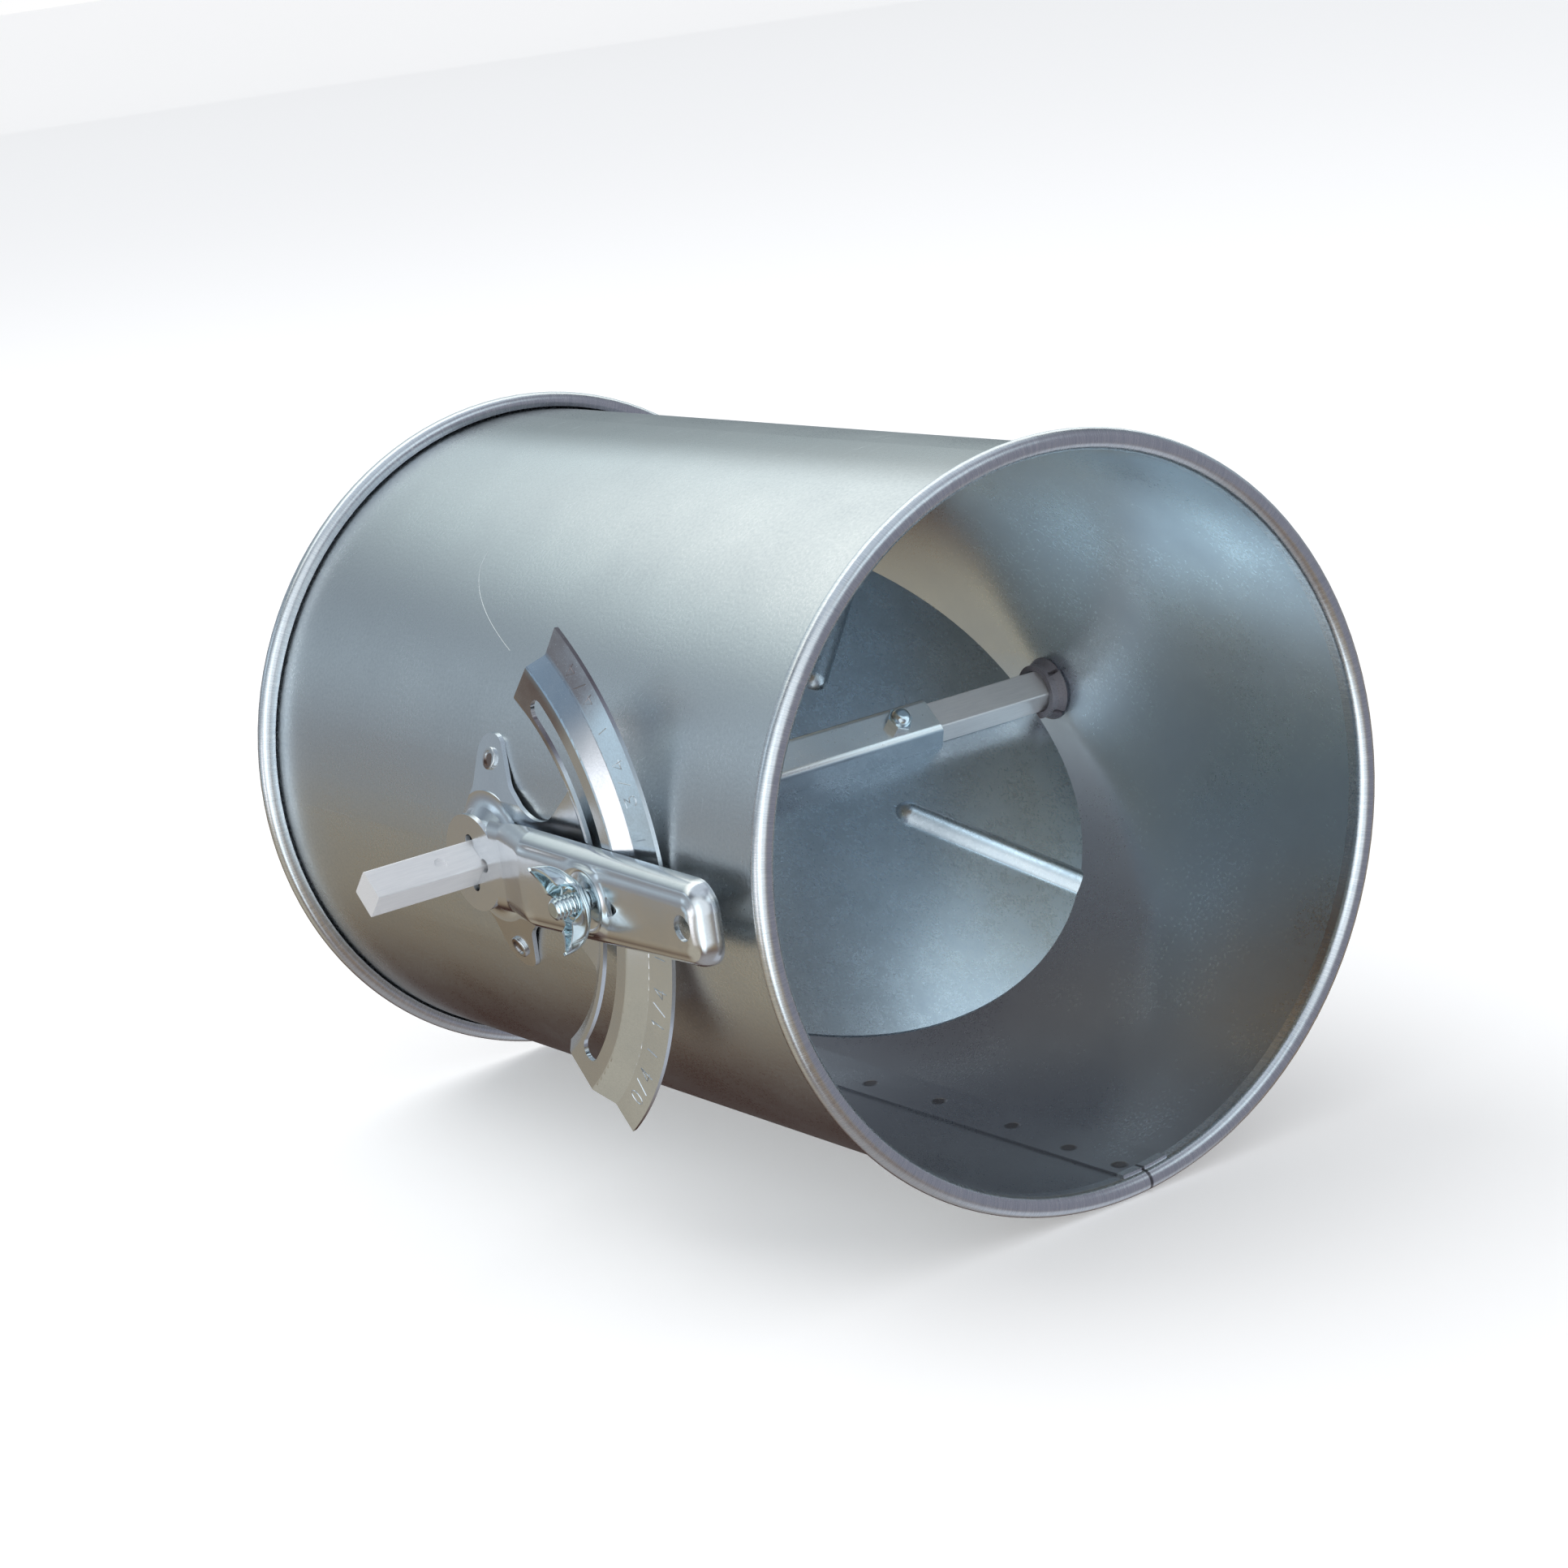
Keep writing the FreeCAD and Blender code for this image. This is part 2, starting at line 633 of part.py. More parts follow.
def bearing(name, side):
    """Round nylon bearing: flange outside the wall, slit snap lip inside, bore for the shaft's corners."""
    body = new_body(name)
    lip_level = f"({WALL_INSIDE} - bearing_lip_gap)"
    section = outline(name + "_section", "XY", [
        (BORE, f"-{FLANGE_LEVEL}", "bearing_edge"),
        (FLANGE, f"-{FLANGE_LEVEL}", "bearing_edge"),
        (FLANGE, "-duct_radius"),
        (BARREL, "-duct_radius"),
        (BARREL, f"-{lip_level}"),
        (f"{BARREL} + bearing_lip", f"-{lip_level}"),
        (f"{BARREL} - bearing_ring_step", f"bearing_lip_length - {lip_level}"),
        (f"{BARREL} - bearing_ring_step", f"-{BEARING_END}"),
        (BORE, f"-{BEARING_END}", "bearing_edge"),
    ], body=body)
    spun(body, section)
    outer = f"{BARREL} + bearing_lip + overrun"
    inner = f"{BARREL} + bearing_lip - bearing_slit_depth"
    slit = outline(name + "_slit", "XZ", [
        (outer, "bearing_slit / 2"),
        (inner, "bearing_slit / 2"),
        (inner, "-bearing_slit / 2"),
        (outer, "-bearing_slit / 2"),
    ], body=body, level=lip_level)
    slit_pocket = pocketed(body, slit, "bearing_lip_length + overrun")
    ring = body.newObject("PartDesign::PolarPattern", name + "_slits")
    ring.Originals = [slit_pocket]
    ring.Axis = ([part for part in body.Origin.OriginFeatures if part.Role == "Y_Axis"][0], [""])
    ring.Angle = 360
    ring.Occurrences = 4
    body.Tip = ring
    quarter_turned = Rotation(Vector(0, 1, 0), 45)
    facing = Rotation() if side < 0 else Rotation(Vector(1, 0, 0), 180)
    body.Placement = Placement(Vector(), facing.multiply(quarter_turned))
    return body


def blade_frame():
    """Pieces on the blade are made with the blade square across the duct, then turned with it."""
    return Placement(Vector(), Rotation(Vector(0, 1, 0), -value("blade_angle")))


def damper_shaft():
    """Square bar with eased edges, drilled for the two screws and staked beside the lever."""
    body = new_body("damper_shaft")
    square = outline("shaft_square_outline", "XZ", [
        (SHAFT_HALF, SHAFT_HALF, "shaft_edge"),
        (f"-{SHAFT_HALF}", SHAFT_HALF, "shaft_edge"),
        (f"-{SHAFT_HALF}", f"-{SHAFT_HALF}", "shaft_edge"),
        (SHAFT_HALF, f"-{SHAFT_HALF}", "shaft_edge"),
    ], body=body, level=f"-({FLANGE_LEVEL} + shaft_far_stub)")
    padded(body, square, f"{FLANGE_LEVEL} + shaft_far_stub + {HUB_LEVEL} + shaft_free_end")
    for side, word in ((1, "far"), (-1, "lever")):
        hole = circle(f"{word}_screw_hole", "YZ", "screw_radius + screw_hole_gap", body,
                      (f"{side} * screw_spacing / 2", "0"), level=f"-{SHAFT_HALF} - overrun")
        pocketed(body, hole, "shaft_square + 2 * overrun", backwards=True)
    stake_place = (f"-({HUB_LEVEL} + stake_run)", "0")
    stake = circle("stake_mark", "YZ", "stake_radius", body, stake_place, level=SHAFT_HALF)
    pocketed(body, stake, "stake_depth")
    body.Placement = blade_frame()
    return body


def rib_tool(name, radius, y_side, z_side):
    """A round-nosed bar along a rib, as deep as the radius asks."""
    sunk = f"-{SHAFT_HALF} - ({RIB_ARCH} - rib_height)"
    rib = "upper" if z_side > 0 else "lower"
    turn = math.radians(value(f"{rib}_rib_turn"))
    bar = cylinder(f"{name}_bar", radius, BLADE_EDGE)
    nose = doc.addObject("Part::Sphere", f"{name}_nose")
    bind(nose, Radius=radius)
    along = Rotation(Vector(0, 0, 1), Vector(0, y_side * math.cos(turn), z_side * math.sin(turn)))
    spot = Vector(value(sunk), y_side * value(f"{rib}_rib_y"), z_side * value(f"{rib}_rib_z"))
    fold_line = Vector(value(f"-{SHAFT_HALF}"), 0, z_side * value(BLADE_FLAT))
    folded = Placement(Vector(), Rotation(Vector(0, 1, 0), z_side * value("blade_fold")), fold_line)
    bar.Placement = folded.multiply(Placement(spot, along))
    nose.Placement = bar.Placement
    return fused(name, bar, nose)


def blade_disc():
    """Round sheet disc, folded a little along the shaft, with four pressed ribs running to its edge."""
    front = f"-{SHAFT_HALF}"
    rise = f"({BLADE_EDGE} - {BLADE_FLAT}) * tan(blade_fold)"
    path = [
        (f"{front} + {rise}", f"-{BLADE_EDGE}"),
        (front, f"-{BLADE_FLAT}"),
        (front, BLADE_FLAT),
        (f"{front} + {rise}", BLADE_EDGE),
    ]
    section = sheet_section("blade_section", outline("blade_path", "XZ", path, closed=False), "blade_sheet")
    flat = extruded("blade_flat", section, BLADE_EDGE, BLADE_EDGE)
    in_front = [(f"{corner[0]} - blade_sheet", corner[1]) for corner in path]
    zone_corners = in_front + [(f"{BLADE_EDGE} / 2", BLADE_EDGE), (f"{BLADE_EDGE} / 2", f"-{BLADE_EDGE}")]
    zone = extruded("blade_front_zone", outline("blade_zone", "XZ", zone_corners), BLADE_EDGE, BLADE_EDGE)
    disc = cylinder("blade_round", BLADE_EDGE, BLADE_EDGE, "X", (f"-{BLADE_EDGE} / 2", "0", "0"))
    ribs = []
    hollows = []
    for y_side in (1, -1):
        for z_side in (1, -1):
            word = f"{'far' if y_side > 0 else 'lever'}_{'upper' if z_side > 0 else 'lower'}"
            ribs.append(rib_tool(f"{word}_rib", RIB_ARCH, y_side, z_side))
            hollows.append(rib_tool(f"{word}_hollow", f"{RIB_ARCH} - blade_sheet", y_side, z_side))
    ribbed = shared("ribbed_disc", fused("ribbed_sheet", flat, *ribs), zone, disc)
    holes = screw_holes("blade", front)
    blade = cut("blade_disc", ribbed, *hollows, *holes)
    blade.Placement = blade_frame()
    return blade


def screw_holes(name, middle):
    """A hole tool at each screw, centred on a depth in the blade's frame."""
    holes = []
    for side, word in ((1, "far"), (-1, "lever")):
        at = (f"{middle} - {SHAFT_HALF}", f"{side} * screw_spacing / 2", "0")
        radius = "screw_radius + screw_hole_gap"
        holes.append(cylinder(f"{name}_{word}_hole", radius, "shaft_square", "X", at))
    return holes


def shaft_saddle():
    """Channel strap over the shaft, its legs standing on the blade."""
    inside = f"({SHAFT_HALF} + saddle_side_gap)"
    path = outline("saddle_path", "XZ", [
        (f"-{SHAFT_HALF}", f"-{inside}"),
        (SHAFT_HALF, f"-{inside}", "saddle_inner_bend"),
        (SHAFT_HALF, inside, "saddle_inner_bend"),
        (f"-{SHAFT_HALF}", inside),
    ], closed=False)
    foot_end = f"({SADDLE_END} + saddle_leg_run)"
    channel = extruded("saddle_channel", sheet_section("saddle_section", path, "saddle_sheet", left=False),
                       foot_end, foot_end)
    top = f"({SHAFT_HALF} + saddle_sheet)"
    ends = outline("saddle_ends", "XY", [
        (top, SADDLE_END),
        (top, f"-{SADDLE_END}"),
        (f"-{SHAFT_HALF}", f"-{foot_end}"),
        (f"-{SHAFT_HALF}", foot_end),
    ])
    between = extruded("saddle_ends_prism", ends, "shaft_square", "shaft_square")
    strap = shared("saddle_strap", channel, between)
    saddle = cut("shaft_saddle", strap, *screw_holes("saddle", SHAFT_HALF))
    saddle.Placement = blade_frame()
    return saddle


def hexagon(name, body, level):
    """A hexagon across the X axis, as the nuts stand on the saddle."""
    reach = "hex_across_flats / 2"
    corner = f"{reach} / cos(30)"
    corners = []
    for step in range(6):
        angle = f"({60 * step} - hex_turn)"
        corners.append((f"{corner} * cos({angle})", f"{corner} * sin({angle})"))
    return outline(name, "YZ", corners, body=body, level=level)


def at_screw(body, side):
    """Puts a fastener made on the X axis at one of the two screws."""
    offset = Placement(Vector(0, side * value("screw_spacing / 2"), 0), Rotation())
    body.Placement = blade_frame().multiply(offset)
    return body


def screw(name, side):
    """Hex screw, head behind the blade, shank through washer, blade, shaft and saddle."""
    body = new_body(name)
    under_head = f"-{SHAFT_HALF} - blade_sheet - washer"
    padded(body, hexagon(name + "_hex", body, under_head), "screw_head", backwards=True)
    shank = circle(name + "_shank", "YZ", "screw_radius", body, level=under_head)
    grip = "shaft_square + blade_sheet + washer + saddle_sheet"
    padded(body, shank, f"{grip} + {NUT_BORE} - screw_radius / 4")
    return at_screw(body, side)


def washer(name, side):
    """Flat washer under a screw's head."""
    body = new_body(name)
    face = f"-{SHAFT_HALF} - blade_sheet"
    outer = circle(name + "_outer", "YZ", "washer_radius", body, level=face)
    padded(body, outer, "washer", backwards=True)
    hole = circle(name + "_hole", "YZ", "screw_radius + screw_hole_gap", body, level=face)
    pocketed(body, hole, "washer")
    return at_screw(body, side)


def cap_nut(name, side):
    """Domed cap nut standing on the saddle."""
    body = new_body(name)
    foot = f"{SHAFT_HALF} + saddle_sheet"
    top = f"{foot} + nut_height"
    padded(body, hexagon(name + "_hex", body, foot), "nut_hex_height")
    dome = outline(name + "_dome", "XZ", [
        (f"{foot} + nut_hex_height / 2", "0"),
        (top, "0"),
        (top, NUT_DOME, "nut_dome_round"),
        (f"{foot} + nut_hex_height / 2", NUT_DOME),
    ], body=body)
    turn = body.newObject("PartDesign::Revolution", name + "_dome_turn")
    turn.Profile = dome
    turn.ReferenceAxis = (dome, ["H_Axis"])
    turn.Angle = 360
    bore = circle(name + "_bore", "YZ", "screw_radius + thread_gap", body, level=foot)
    pocketed(body, bore, NUT_BORE, backwards=True)
    return at_screw(body, side)


def lever_solid(name, inset, top_radius):
    """The channel as a deep solid: its plan, cut by its side view, with the upper edges rounded."""
    start = "hub_radius - channel_overlap"
    tip = f"lever_reach - {inset}"
    wide = f"channel_half_width - {inset}"
    narrow = f"channel_tip_half_width - {inset}"
    plan = outline(f"{name}_plan", "XZ", [
        (start, wide),
        (start, f"-({wide})"),
        (tip, f"-({narrow})", f"tip_corner_radius - {inset}"),
        (tip, narrow, f"tip_corner_radius - {inset}"),
    ])
    deep = f"{WEB_LEVEL} - 4 * shoulder_radius"
    hub_face = f"{HUB_LEVEL} - {inset}"
    side = outline(f"{name}_side", "XY", [
        (start, f"-({deep})"),
        (start, f"-({hub_face})"),
        ("hub_radius + ramp_gap", f"-({hub_face})", "ramp_foot_bend"),
        ("hub_radius + ramp_gap + ramp_run", f"-({WEB_LEVEL} - {inset})", "ramp_top_bend"),
        (f"{tip} + overrun", f"-({WEB_LEVEL} - {inset})"),
        (f"{tip} + overrun", f"-({deep})"),
    ])
    block = shared(f"{name}_block", extruded(f"{name}_plan_prism", plan, f"{WEB_LEVEL} + overrun"),
                   extruded(f"{name}_side_prism", side, "2 * channel_half_width", "2 * channel_half_width"))
    lowest = value(f"lever_sheet / 2 - ({hub_face})")
    tip_start = value(f"{tip} - lever_sheet / 2")

    def is_upper(edge):
        middle = edge.valueAt((edge.FirstParameter + edge.LastParameter) / 2)
        heading = edge.tangentAt((edge.FirstParameter + edge.LastParameter) / 2)
        on_top = middle.y < lowest and abs(heading.y) < 0.9
        bend_line = abs(heading.z) > 0.99 and middle.x < tip_start
        return on_top and not bend_line

    return edges_rounded(f"{name}_rounded", block, top_radius, is_upper)


def handle_lever():
    """Pressed lever: flat hub with a square hole, ramp, channel with a turned-down rim all round its tip."""
    flange_level = f"{SLOT_LEVEL} + lever_gap"
    outer = lever_solid("lever_outer", "0", "shoulder_radius")
    below = doc.addObject("Part::Box", "below_flanges")
    bind(below, Length="2 * lever_reach", Width=WEB_LEVEL, Height="4 * hub_radius")
    place(below, ("-lever_reach / 2", f"-({flange_level})", "-2 * hub_radius"))
    hub = cylinder("lever_hub", "hub_radius", "lever_sheet", "Y", ("0", f"-{HUB_LEVEL}", "0"))
    dish_back = doc.addObject("Part::Cone", "dish_back")
    bind(dish_back, Radius1="dish_floor_radius", Radius2="dish_radius")
    bind(dish_back, Height="dish_depth + lever_sheet / 2")
    place(dish_back, ("slot_radius", f"-({WEB_LEVEL} - lever_sheet - dish_depth)", "0"), PLANES["XZ"])
    inner = lever_solid("lever_inner", "lever_sheet", "shoulder_radius - lever_sheet")
    channel = fused("lever_channel", cut("lever_sheet_form", outer, inner, below), hub, dish_back)
    dish = doc.addObject("Part::Cone", "dish")
    bind(dish, Radius1="dish_floor_radius", Radius2="dish_radius", Height="dish_depth")
    place(dish, ("slot_radius", f"-({WEB_LEVEL} - dish_depth)", "0"), PLANES["XZ"])
    corners = [(HUB_SQUARE, "0"), ("0", HUB_SQUARE), (f"-{HUB_SQUARE}", "0"), ("0", f"-{HUB_SQUARE}")]
    tools = [dish, extruded("hub_square_hole", outline("hub_square", "XZ", corners), f"2 * {HUB_LEVEL}")]
    relief = f"({HUB_SQUARE} - hub_relief_inset)"
    reliefs = (("right", "1", "0"), ("top", "0", "1"), ("left", "-1", "0"), ("bottom", "0", "-1"))
    for word, across, up in reliefs:
        at = (f"{across} * {relief}", f"-({HUB_BACK} + 2 * lever_sheet)", f"{up} * {relief}")
        tools.append(cylinder(f"{word}_relief", "hub_relief_radius", "3 * lever_sheet", "Y", at))
    above = f"-({WEB_LEVEL} + lever_sheet)"
    tools.append(cylinder("clamp_hole", "clamp_radius + clamp_hole_gap", "6 * lever_sheet", "Y",
                          ("slot_radius", above, "0")))
    tools.append(cylinder("tip_hole", "tip_hole_radius", "4 * lever_sheet", "Y",
                          ("lever_reach - tip_hole_inset", above, "0")))
    window_x = "slot_radius + dish_radius + window_gap"
    window = outline("window", "XZ", [
        (window_x, "window_half_height", "window_corner"),
        (window_x, "-window_half_height", "window_corner"),
        (f"{window_x} + window_length", "0", "window_corner"),
    ], level=f"{WEB_LEVEL} - 2 * lever_sheet")
    tools.append(extruded("window_hole", window, "3 * lever_sheet"))
    return cut("handle_lever", channel, *tools)


def clamp_bolt():
    """T bolt: low oblong head behind the plate, square neck in the slot, shank through the lever."""
    body = new_body("clamp_bolt")
    under = f"({SLOT_LEVEL} - plate_sheet - clamp_head_gap)"
    side = f"(face_inside - plate_bend * tan({STEP_ANGLE} / 2) - clamp_head_side_gap)"
    head = outline("clamp_head_outline", "XZ", [
        (side, "clamp_head_half_length", "clamp_head_edge"),
        (f"-{side}", "clamp_head_half_length", "clamp_head_edge"),
        (f"-{side}", "-clamp_head_half_length", "clamp_head_edge"),
        (side, "-clamp_head_half_length", "clamp_head_edge"),
    ], body=body, level=f"({under} - clamp_head)")
    padded(body, head, "clamp_head")
    half = f"({SLOT_HALF} - clamp_neck_gap)"
    neck = outline("clamp_neck_outline", "XZ", [
        (half, half, "clamp_neck_edge"),
        (f"-{half}", half, "clamp_neck_edge"),
        (f"-{half}", f"-{half}", "clamp_neck_edge"),
        (half, f"-{half}", "clamp_neck_edge"),
    ], body=body, level=under)
    padded(body, neck, "clamp_head_gap + plate_sheet + clamp_neck_proud")
    shank = circle("clamp_shank", "XZ", "clamp_radius", body, level=under)
    padded(body, shank, f"{WEB_LEVEL} + wing_boss + clamp_free_end - {under}")
    place(body, ("slot_radius", "0", "0"))
    return body


def wing_nut():
    """Stamped wing nut: a strip bent up at both ends, narrowed to round wings, on a short threaded boss."""
    foot = f"-{WEB_LEVEL}"
    top = f"{foot} - wing_height"
    path = outline("wing_path", "YZ", [
        (top, "-wing_half_span"),
        (foot, "-(wing_half_span - wing_lean)", "wing_bend"),
        (foot, "wing_half_span - wing_lean", "wing_bend"),
        (top, "wing_half_span"),
    ], closed=False)
    strip = extruded("wing_strip", sheet_section("wing_section", path, "wing_sheet"),
                     "wing_half_width", "wing_half_width")
    shape = outline("wing_shape", "XY", [
        ("-wing_half_width", foot),
        ("wing_half_width", foot),
        ("wing_half_width", top, "wing_tip_radius"),
        ("-wing_half_width", top, "wing_tip_radius"),
    ])
    wings = shared("wings", strip, extruded("wing_prism", shape, "wing_half_span", "wing_half_span"))
    boss_end = ("0", f"{foot} - wing_boss", "0")
    boss = cylinder("wing_boss_round", "wing_boss_radius", "wing_boss", "Y", boss_end)
    bore = cylinder("wing_bore", "clamp_radius + thread_gap", "3 * wing_boss", "Y",
                    ("0", f"{foot} - 2 * wing_boss", "0"))
    nut = cut("wing_nut", fused("wing_body", wings, boss), bore)
    return place(nut, ("slot_radius", "0", "0"), Rotation(Vector(0, 1, 0), -value("wing_angle")))


pieces = [
    duct_shell(),
    quadrant_plate(),
    quadrant_rivets(),
    bearing("handle_side_bearing", -1),
    bearing("far_side_bearing", 1),
    damper_shaft(),
    blade_disc(),
    shaft_saddle(),
    pair("saddle_screws", screw("far_screw", 1), screw("lever_screw", -1)),
    pair("screw_washers", washer("far_washer", 1), washer("lever_washer", -1)),
    pair("cap_nuts", cap_nut("far_cap_nut", 1), cap_nut("lever_cap_nut", -1)),
    handle_lever(),
    clamp_bolt(),
    wing_nut(),
]
doc.recompute()

for thing in doc.Objects:
    if "Invalid" in thing.State or "Error" in thing.State:
        raise ValueError(f"{thing.Label} failed: {thing.State}")
for piece in pieces:
    piece.Label = piece.Name
    if piece.Shape.isNull() or not piece.Shape.isValid():
        raise ValueError(piece.Label + " has no valid shape")

os.makedirs("parts", exist_ok=True)
for piece in pieces:
    piece.Shape.exportStep(f"parts/{piece.Label}.step")
    box = piece.Shape.optimalBoundingBox()
    print(f"{piece.Label}: {len(piece.Shape.Solids)} solids, {piece.Shape.Volume:.0f} mm3,"
          f" x {box.XMin:.2f} {box.XMax:.2f}, y {box.YMin:.2f} {box.YMax:.2f},"
          f" z {box.ZMin:.2f} {box.ZMax:.2f}")
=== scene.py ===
"""The looks of a round duct's butterfly damper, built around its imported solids."""
import json
import math

import bmesh
import bpy
from mathutils import Matrix, Vector


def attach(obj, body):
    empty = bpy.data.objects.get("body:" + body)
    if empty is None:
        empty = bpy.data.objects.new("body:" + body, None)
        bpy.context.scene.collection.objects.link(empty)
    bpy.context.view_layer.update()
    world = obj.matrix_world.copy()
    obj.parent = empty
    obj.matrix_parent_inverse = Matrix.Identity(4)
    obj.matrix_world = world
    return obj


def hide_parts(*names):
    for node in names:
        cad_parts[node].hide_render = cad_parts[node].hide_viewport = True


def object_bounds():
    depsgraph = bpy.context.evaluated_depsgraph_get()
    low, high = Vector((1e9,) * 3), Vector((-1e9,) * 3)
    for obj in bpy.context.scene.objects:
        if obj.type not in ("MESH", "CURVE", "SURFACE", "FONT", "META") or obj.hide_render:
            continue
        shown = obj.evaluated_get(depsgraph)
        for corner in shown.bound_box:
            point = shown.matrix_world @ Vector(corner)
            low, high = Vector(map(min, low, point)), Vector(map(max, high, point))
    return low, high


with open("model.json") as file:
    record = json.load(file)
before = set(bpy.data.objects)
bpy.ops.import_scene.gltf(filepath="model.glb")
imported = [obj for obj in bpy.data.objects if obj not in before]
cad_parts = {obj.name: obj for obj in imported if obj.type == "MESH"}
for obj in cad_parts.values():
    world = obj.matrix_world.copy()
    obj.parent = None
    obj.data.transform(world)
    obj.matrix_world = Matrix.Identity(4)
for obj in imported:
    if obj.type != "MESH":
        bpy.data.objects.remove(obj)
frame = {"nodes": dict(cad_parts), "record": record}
cad_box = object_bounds()

# X runs along the duct, -Y out to the lever and Z up. Sizes of the damper are named in millimetres and go to Blender
# times MM; a level is a distance from the duct's centre line along -Y.

MM = 0.001
DUCT_RADIUS = 101.6
BOLT_X = 66
LEVER_FACE = 115


def metres(lengths):
    """Lengths in millimetres as Blender takes them."""
    return [length * MM for length in lengths]


# Camera, where the photograph was taken from, in metres

PHOTO_SIZE = 1932
CAMERA_PLACE = Vector((0.90315, -0.59533, 0.26040))
CAMERA_TARGET = Vector((-0.00387, 0, -0.00971))
CAMERA_ROLL = math.radians(-8.134)
FOCAL_PIXELS = 4593.8
CENTRE_OFFSET = (1.14, 15.80)
SENSOR = 36


def make_camera():
    """A long lens, turned a little round its own line of sight."""
    data = bpy.data.cameras.new("photo_camera")
    data.sensor_width = SENSOR
    data.lens = FOCAL_PIXELS / PHOTO_SIZE * SENSOR
    data.shift_x = -CENTRE_OFFSET[0] / PHOTO_SIZE
    data.shift_y = CENTRE_OFFSET[1] / PHOTO_SIZE
    data.clip_start = 0.05
    data.clip_end = 100
    camera = bpy.data.objects.new("photo_camera", data)
    back = (CAMERA_PLACE - CAMERA_TARGET).normalized()
    right = Vector((0, 0, 1)).cross(back).normalized()
    above = back.cross(right)
    turned_right = right * math.cos(CAMERA_ROLL) + above * math.sin(CAMERA_ROLL)
    turned_up = above * math.cos(CAMERA_ROLL) - right * math.sin(CAMERA_ROLL)
    turn = Matrix((turned_right, turned_up, back)).transposed()
    camera.matrix_world = Matrix.Translation(CAMERA_PLACE) @ turn.to_4x4()
    bpy.context.scene.collection.objects.link(camera)
    bpy.context.scene.camera = camera


# Node helpers

def node(tree, kind, inputs=None, **settings):
    """A shader node with its settings, and its inputs set or linked."""
    made = tree.nodes.new(kind)
    for name, setting in settings.items():
        setattr(made, name, setting)
    for name, given in (inputs or {}).items():
        if isinstance(given, bpy.types.NodeSocket):
            tree.links.new(given, made.inputs[name])
        else:
            made.inputs[name].default_value = given
    return made


def maths(tree, operation, first, second=0.0, third=0.0):
    """One step of arithmetic on numbers or sockets."""
    made = node(tree, "ShaderNodeMath", {0: first, 1: second, 2: third}, operation=operation)
    return made.outputs[0]


def times(tree, first, *others):
    """The product of numbers or sockets."""
    for other in others:
        first = maths(tree, "MULTIPLY", first, other)
    return first


def plus(tree, first, *others):
    """The sum of numbers or sockets."""
    for other in others:
        first = maths(tree, "ADD", first, other)
    return first


def minus(tree, first, second):
    """One number or socket less another."""
    return maths(tree, "SUBTRACT", first, second)


def magnitude(tree, source):
    """A value without its sign."""
    return maths(tree, "ABSOLUTE", source)


def reach(tree, first, second):
    """The length of two numbers at right angles."""
    return maths(tree, "SQRT", plus(tree, times(tree, first, first), times(tree, second, second)))


def noise(tree, vector, scale, detail=3.0, roughness=0.55):
    """Grey noise between 0 and 1 at a scale per metre."""
    made = node(tree, "ShaderNodeTexNoise", {"Vector": vector, "Scale": scale, "Detail": detail,
                                             "Roughness": roughness})
    return made.outputs["Fac"]


def spread(tree, source, low, high, from_low=0.3, from_high=0.7):
    """A noise value stretched between two numbers."""
    made = node(tree, "ShaderNodeMapRange", {"Value": source, "From Min": from_low, "From Max": from_high,
                                             "To Min": low, "To Max": high})
    return made.outputs[0]


def eased(tree, source, start, end):
    """Goes softly from 0 to 1 while the source goes from start to end, up or down."""
    made = node(tree, "ShaderNodeMapRange", {"Value": source, "From Min": start, "From Max": end},
                interpolation_type="SMOOTHSTEP")
    return made.outputs[0]


def plateau(tree, source, start, full, fade, end):
    """1 while the source is between full and fade, and softly down to 0 at start and at end."""
    return times(tree, eased(tree, source, start, full), eased(tree, source, end, fade))


def spot(tree, across, up, centre, size, soft):
    """A soft oval spot: 1 inside, 0 outside."""
    first = maths(tree, "DIVIDE", minus(tree, across, centre[0]), size[0])
    second = maths(tree, "DIVIDE", minus(tree, up, centre[1]), size[1])
    return eased(tree, reach(tree, first, second), 1 + soft, 1 - soft)


def blend_colour(tree, share, first, second):
    """Two colours, given or linked, mixed by a share."""
    made = node(tree, "ShaderNodeMix", {0: share}, data_type="RGBA")
    for index, colour in ((6, first), (7, second)):
        if isinstance(colour, bpy.types.NodeSocket):
            tree.links.new(colour, made.inputs[index])
        else:
            made.inputs[index].default_value = (*colour, 1)
    return made.outputs[2]


def ramp_colour(tree, source, stops):
    """The colour that a value has among stops of a value and a colour each."""
    low, high = stops[0][0], stops[-1][0]
    made = node(tree, "ShaderNodeValToRGB", {0: spread(tree, source, 0, 1, low, high)})
    elements = made.color_ramp.elements
    while len(elements) < len(stops):
        elements.new(0.5)
    for element, (level, colour) in zip(elements, stops):
        element.position = (level - low) / (high - low)
        element.color = (*colour, 1)
    return made.outputs[0]


def joined(tree, first, second, third=0.0):
    """A vector from its numbers."""
    return node(tree, "ShaderNodeCombineXYZ", {0: first, 1: second, 2: third}).outputs[0]


def parted(tree, vector):
    """A vector's three numbers."""
    return node(tree, "ShaderNodeSeparateXYZ", {0: vector}).outputs


def stretched(tree, vector, x, y, z):
    """A vector scaled on each axis."""
    return node(tree, "ShaderNodeMapping", {"Vector": vector, "Scale": (x, y, z)}).outputs[0]


def object_place(tree):
    """The point on the object."""
    return node(tree, "ShaderNodeTexCoord").outputs["Object"]


def new_material(name):
    """A material with a plain principled shader, and its nodes."""
    material = bpy.data.materials.new(name)
    material.use_nodes = True
    return material, material.node_tree


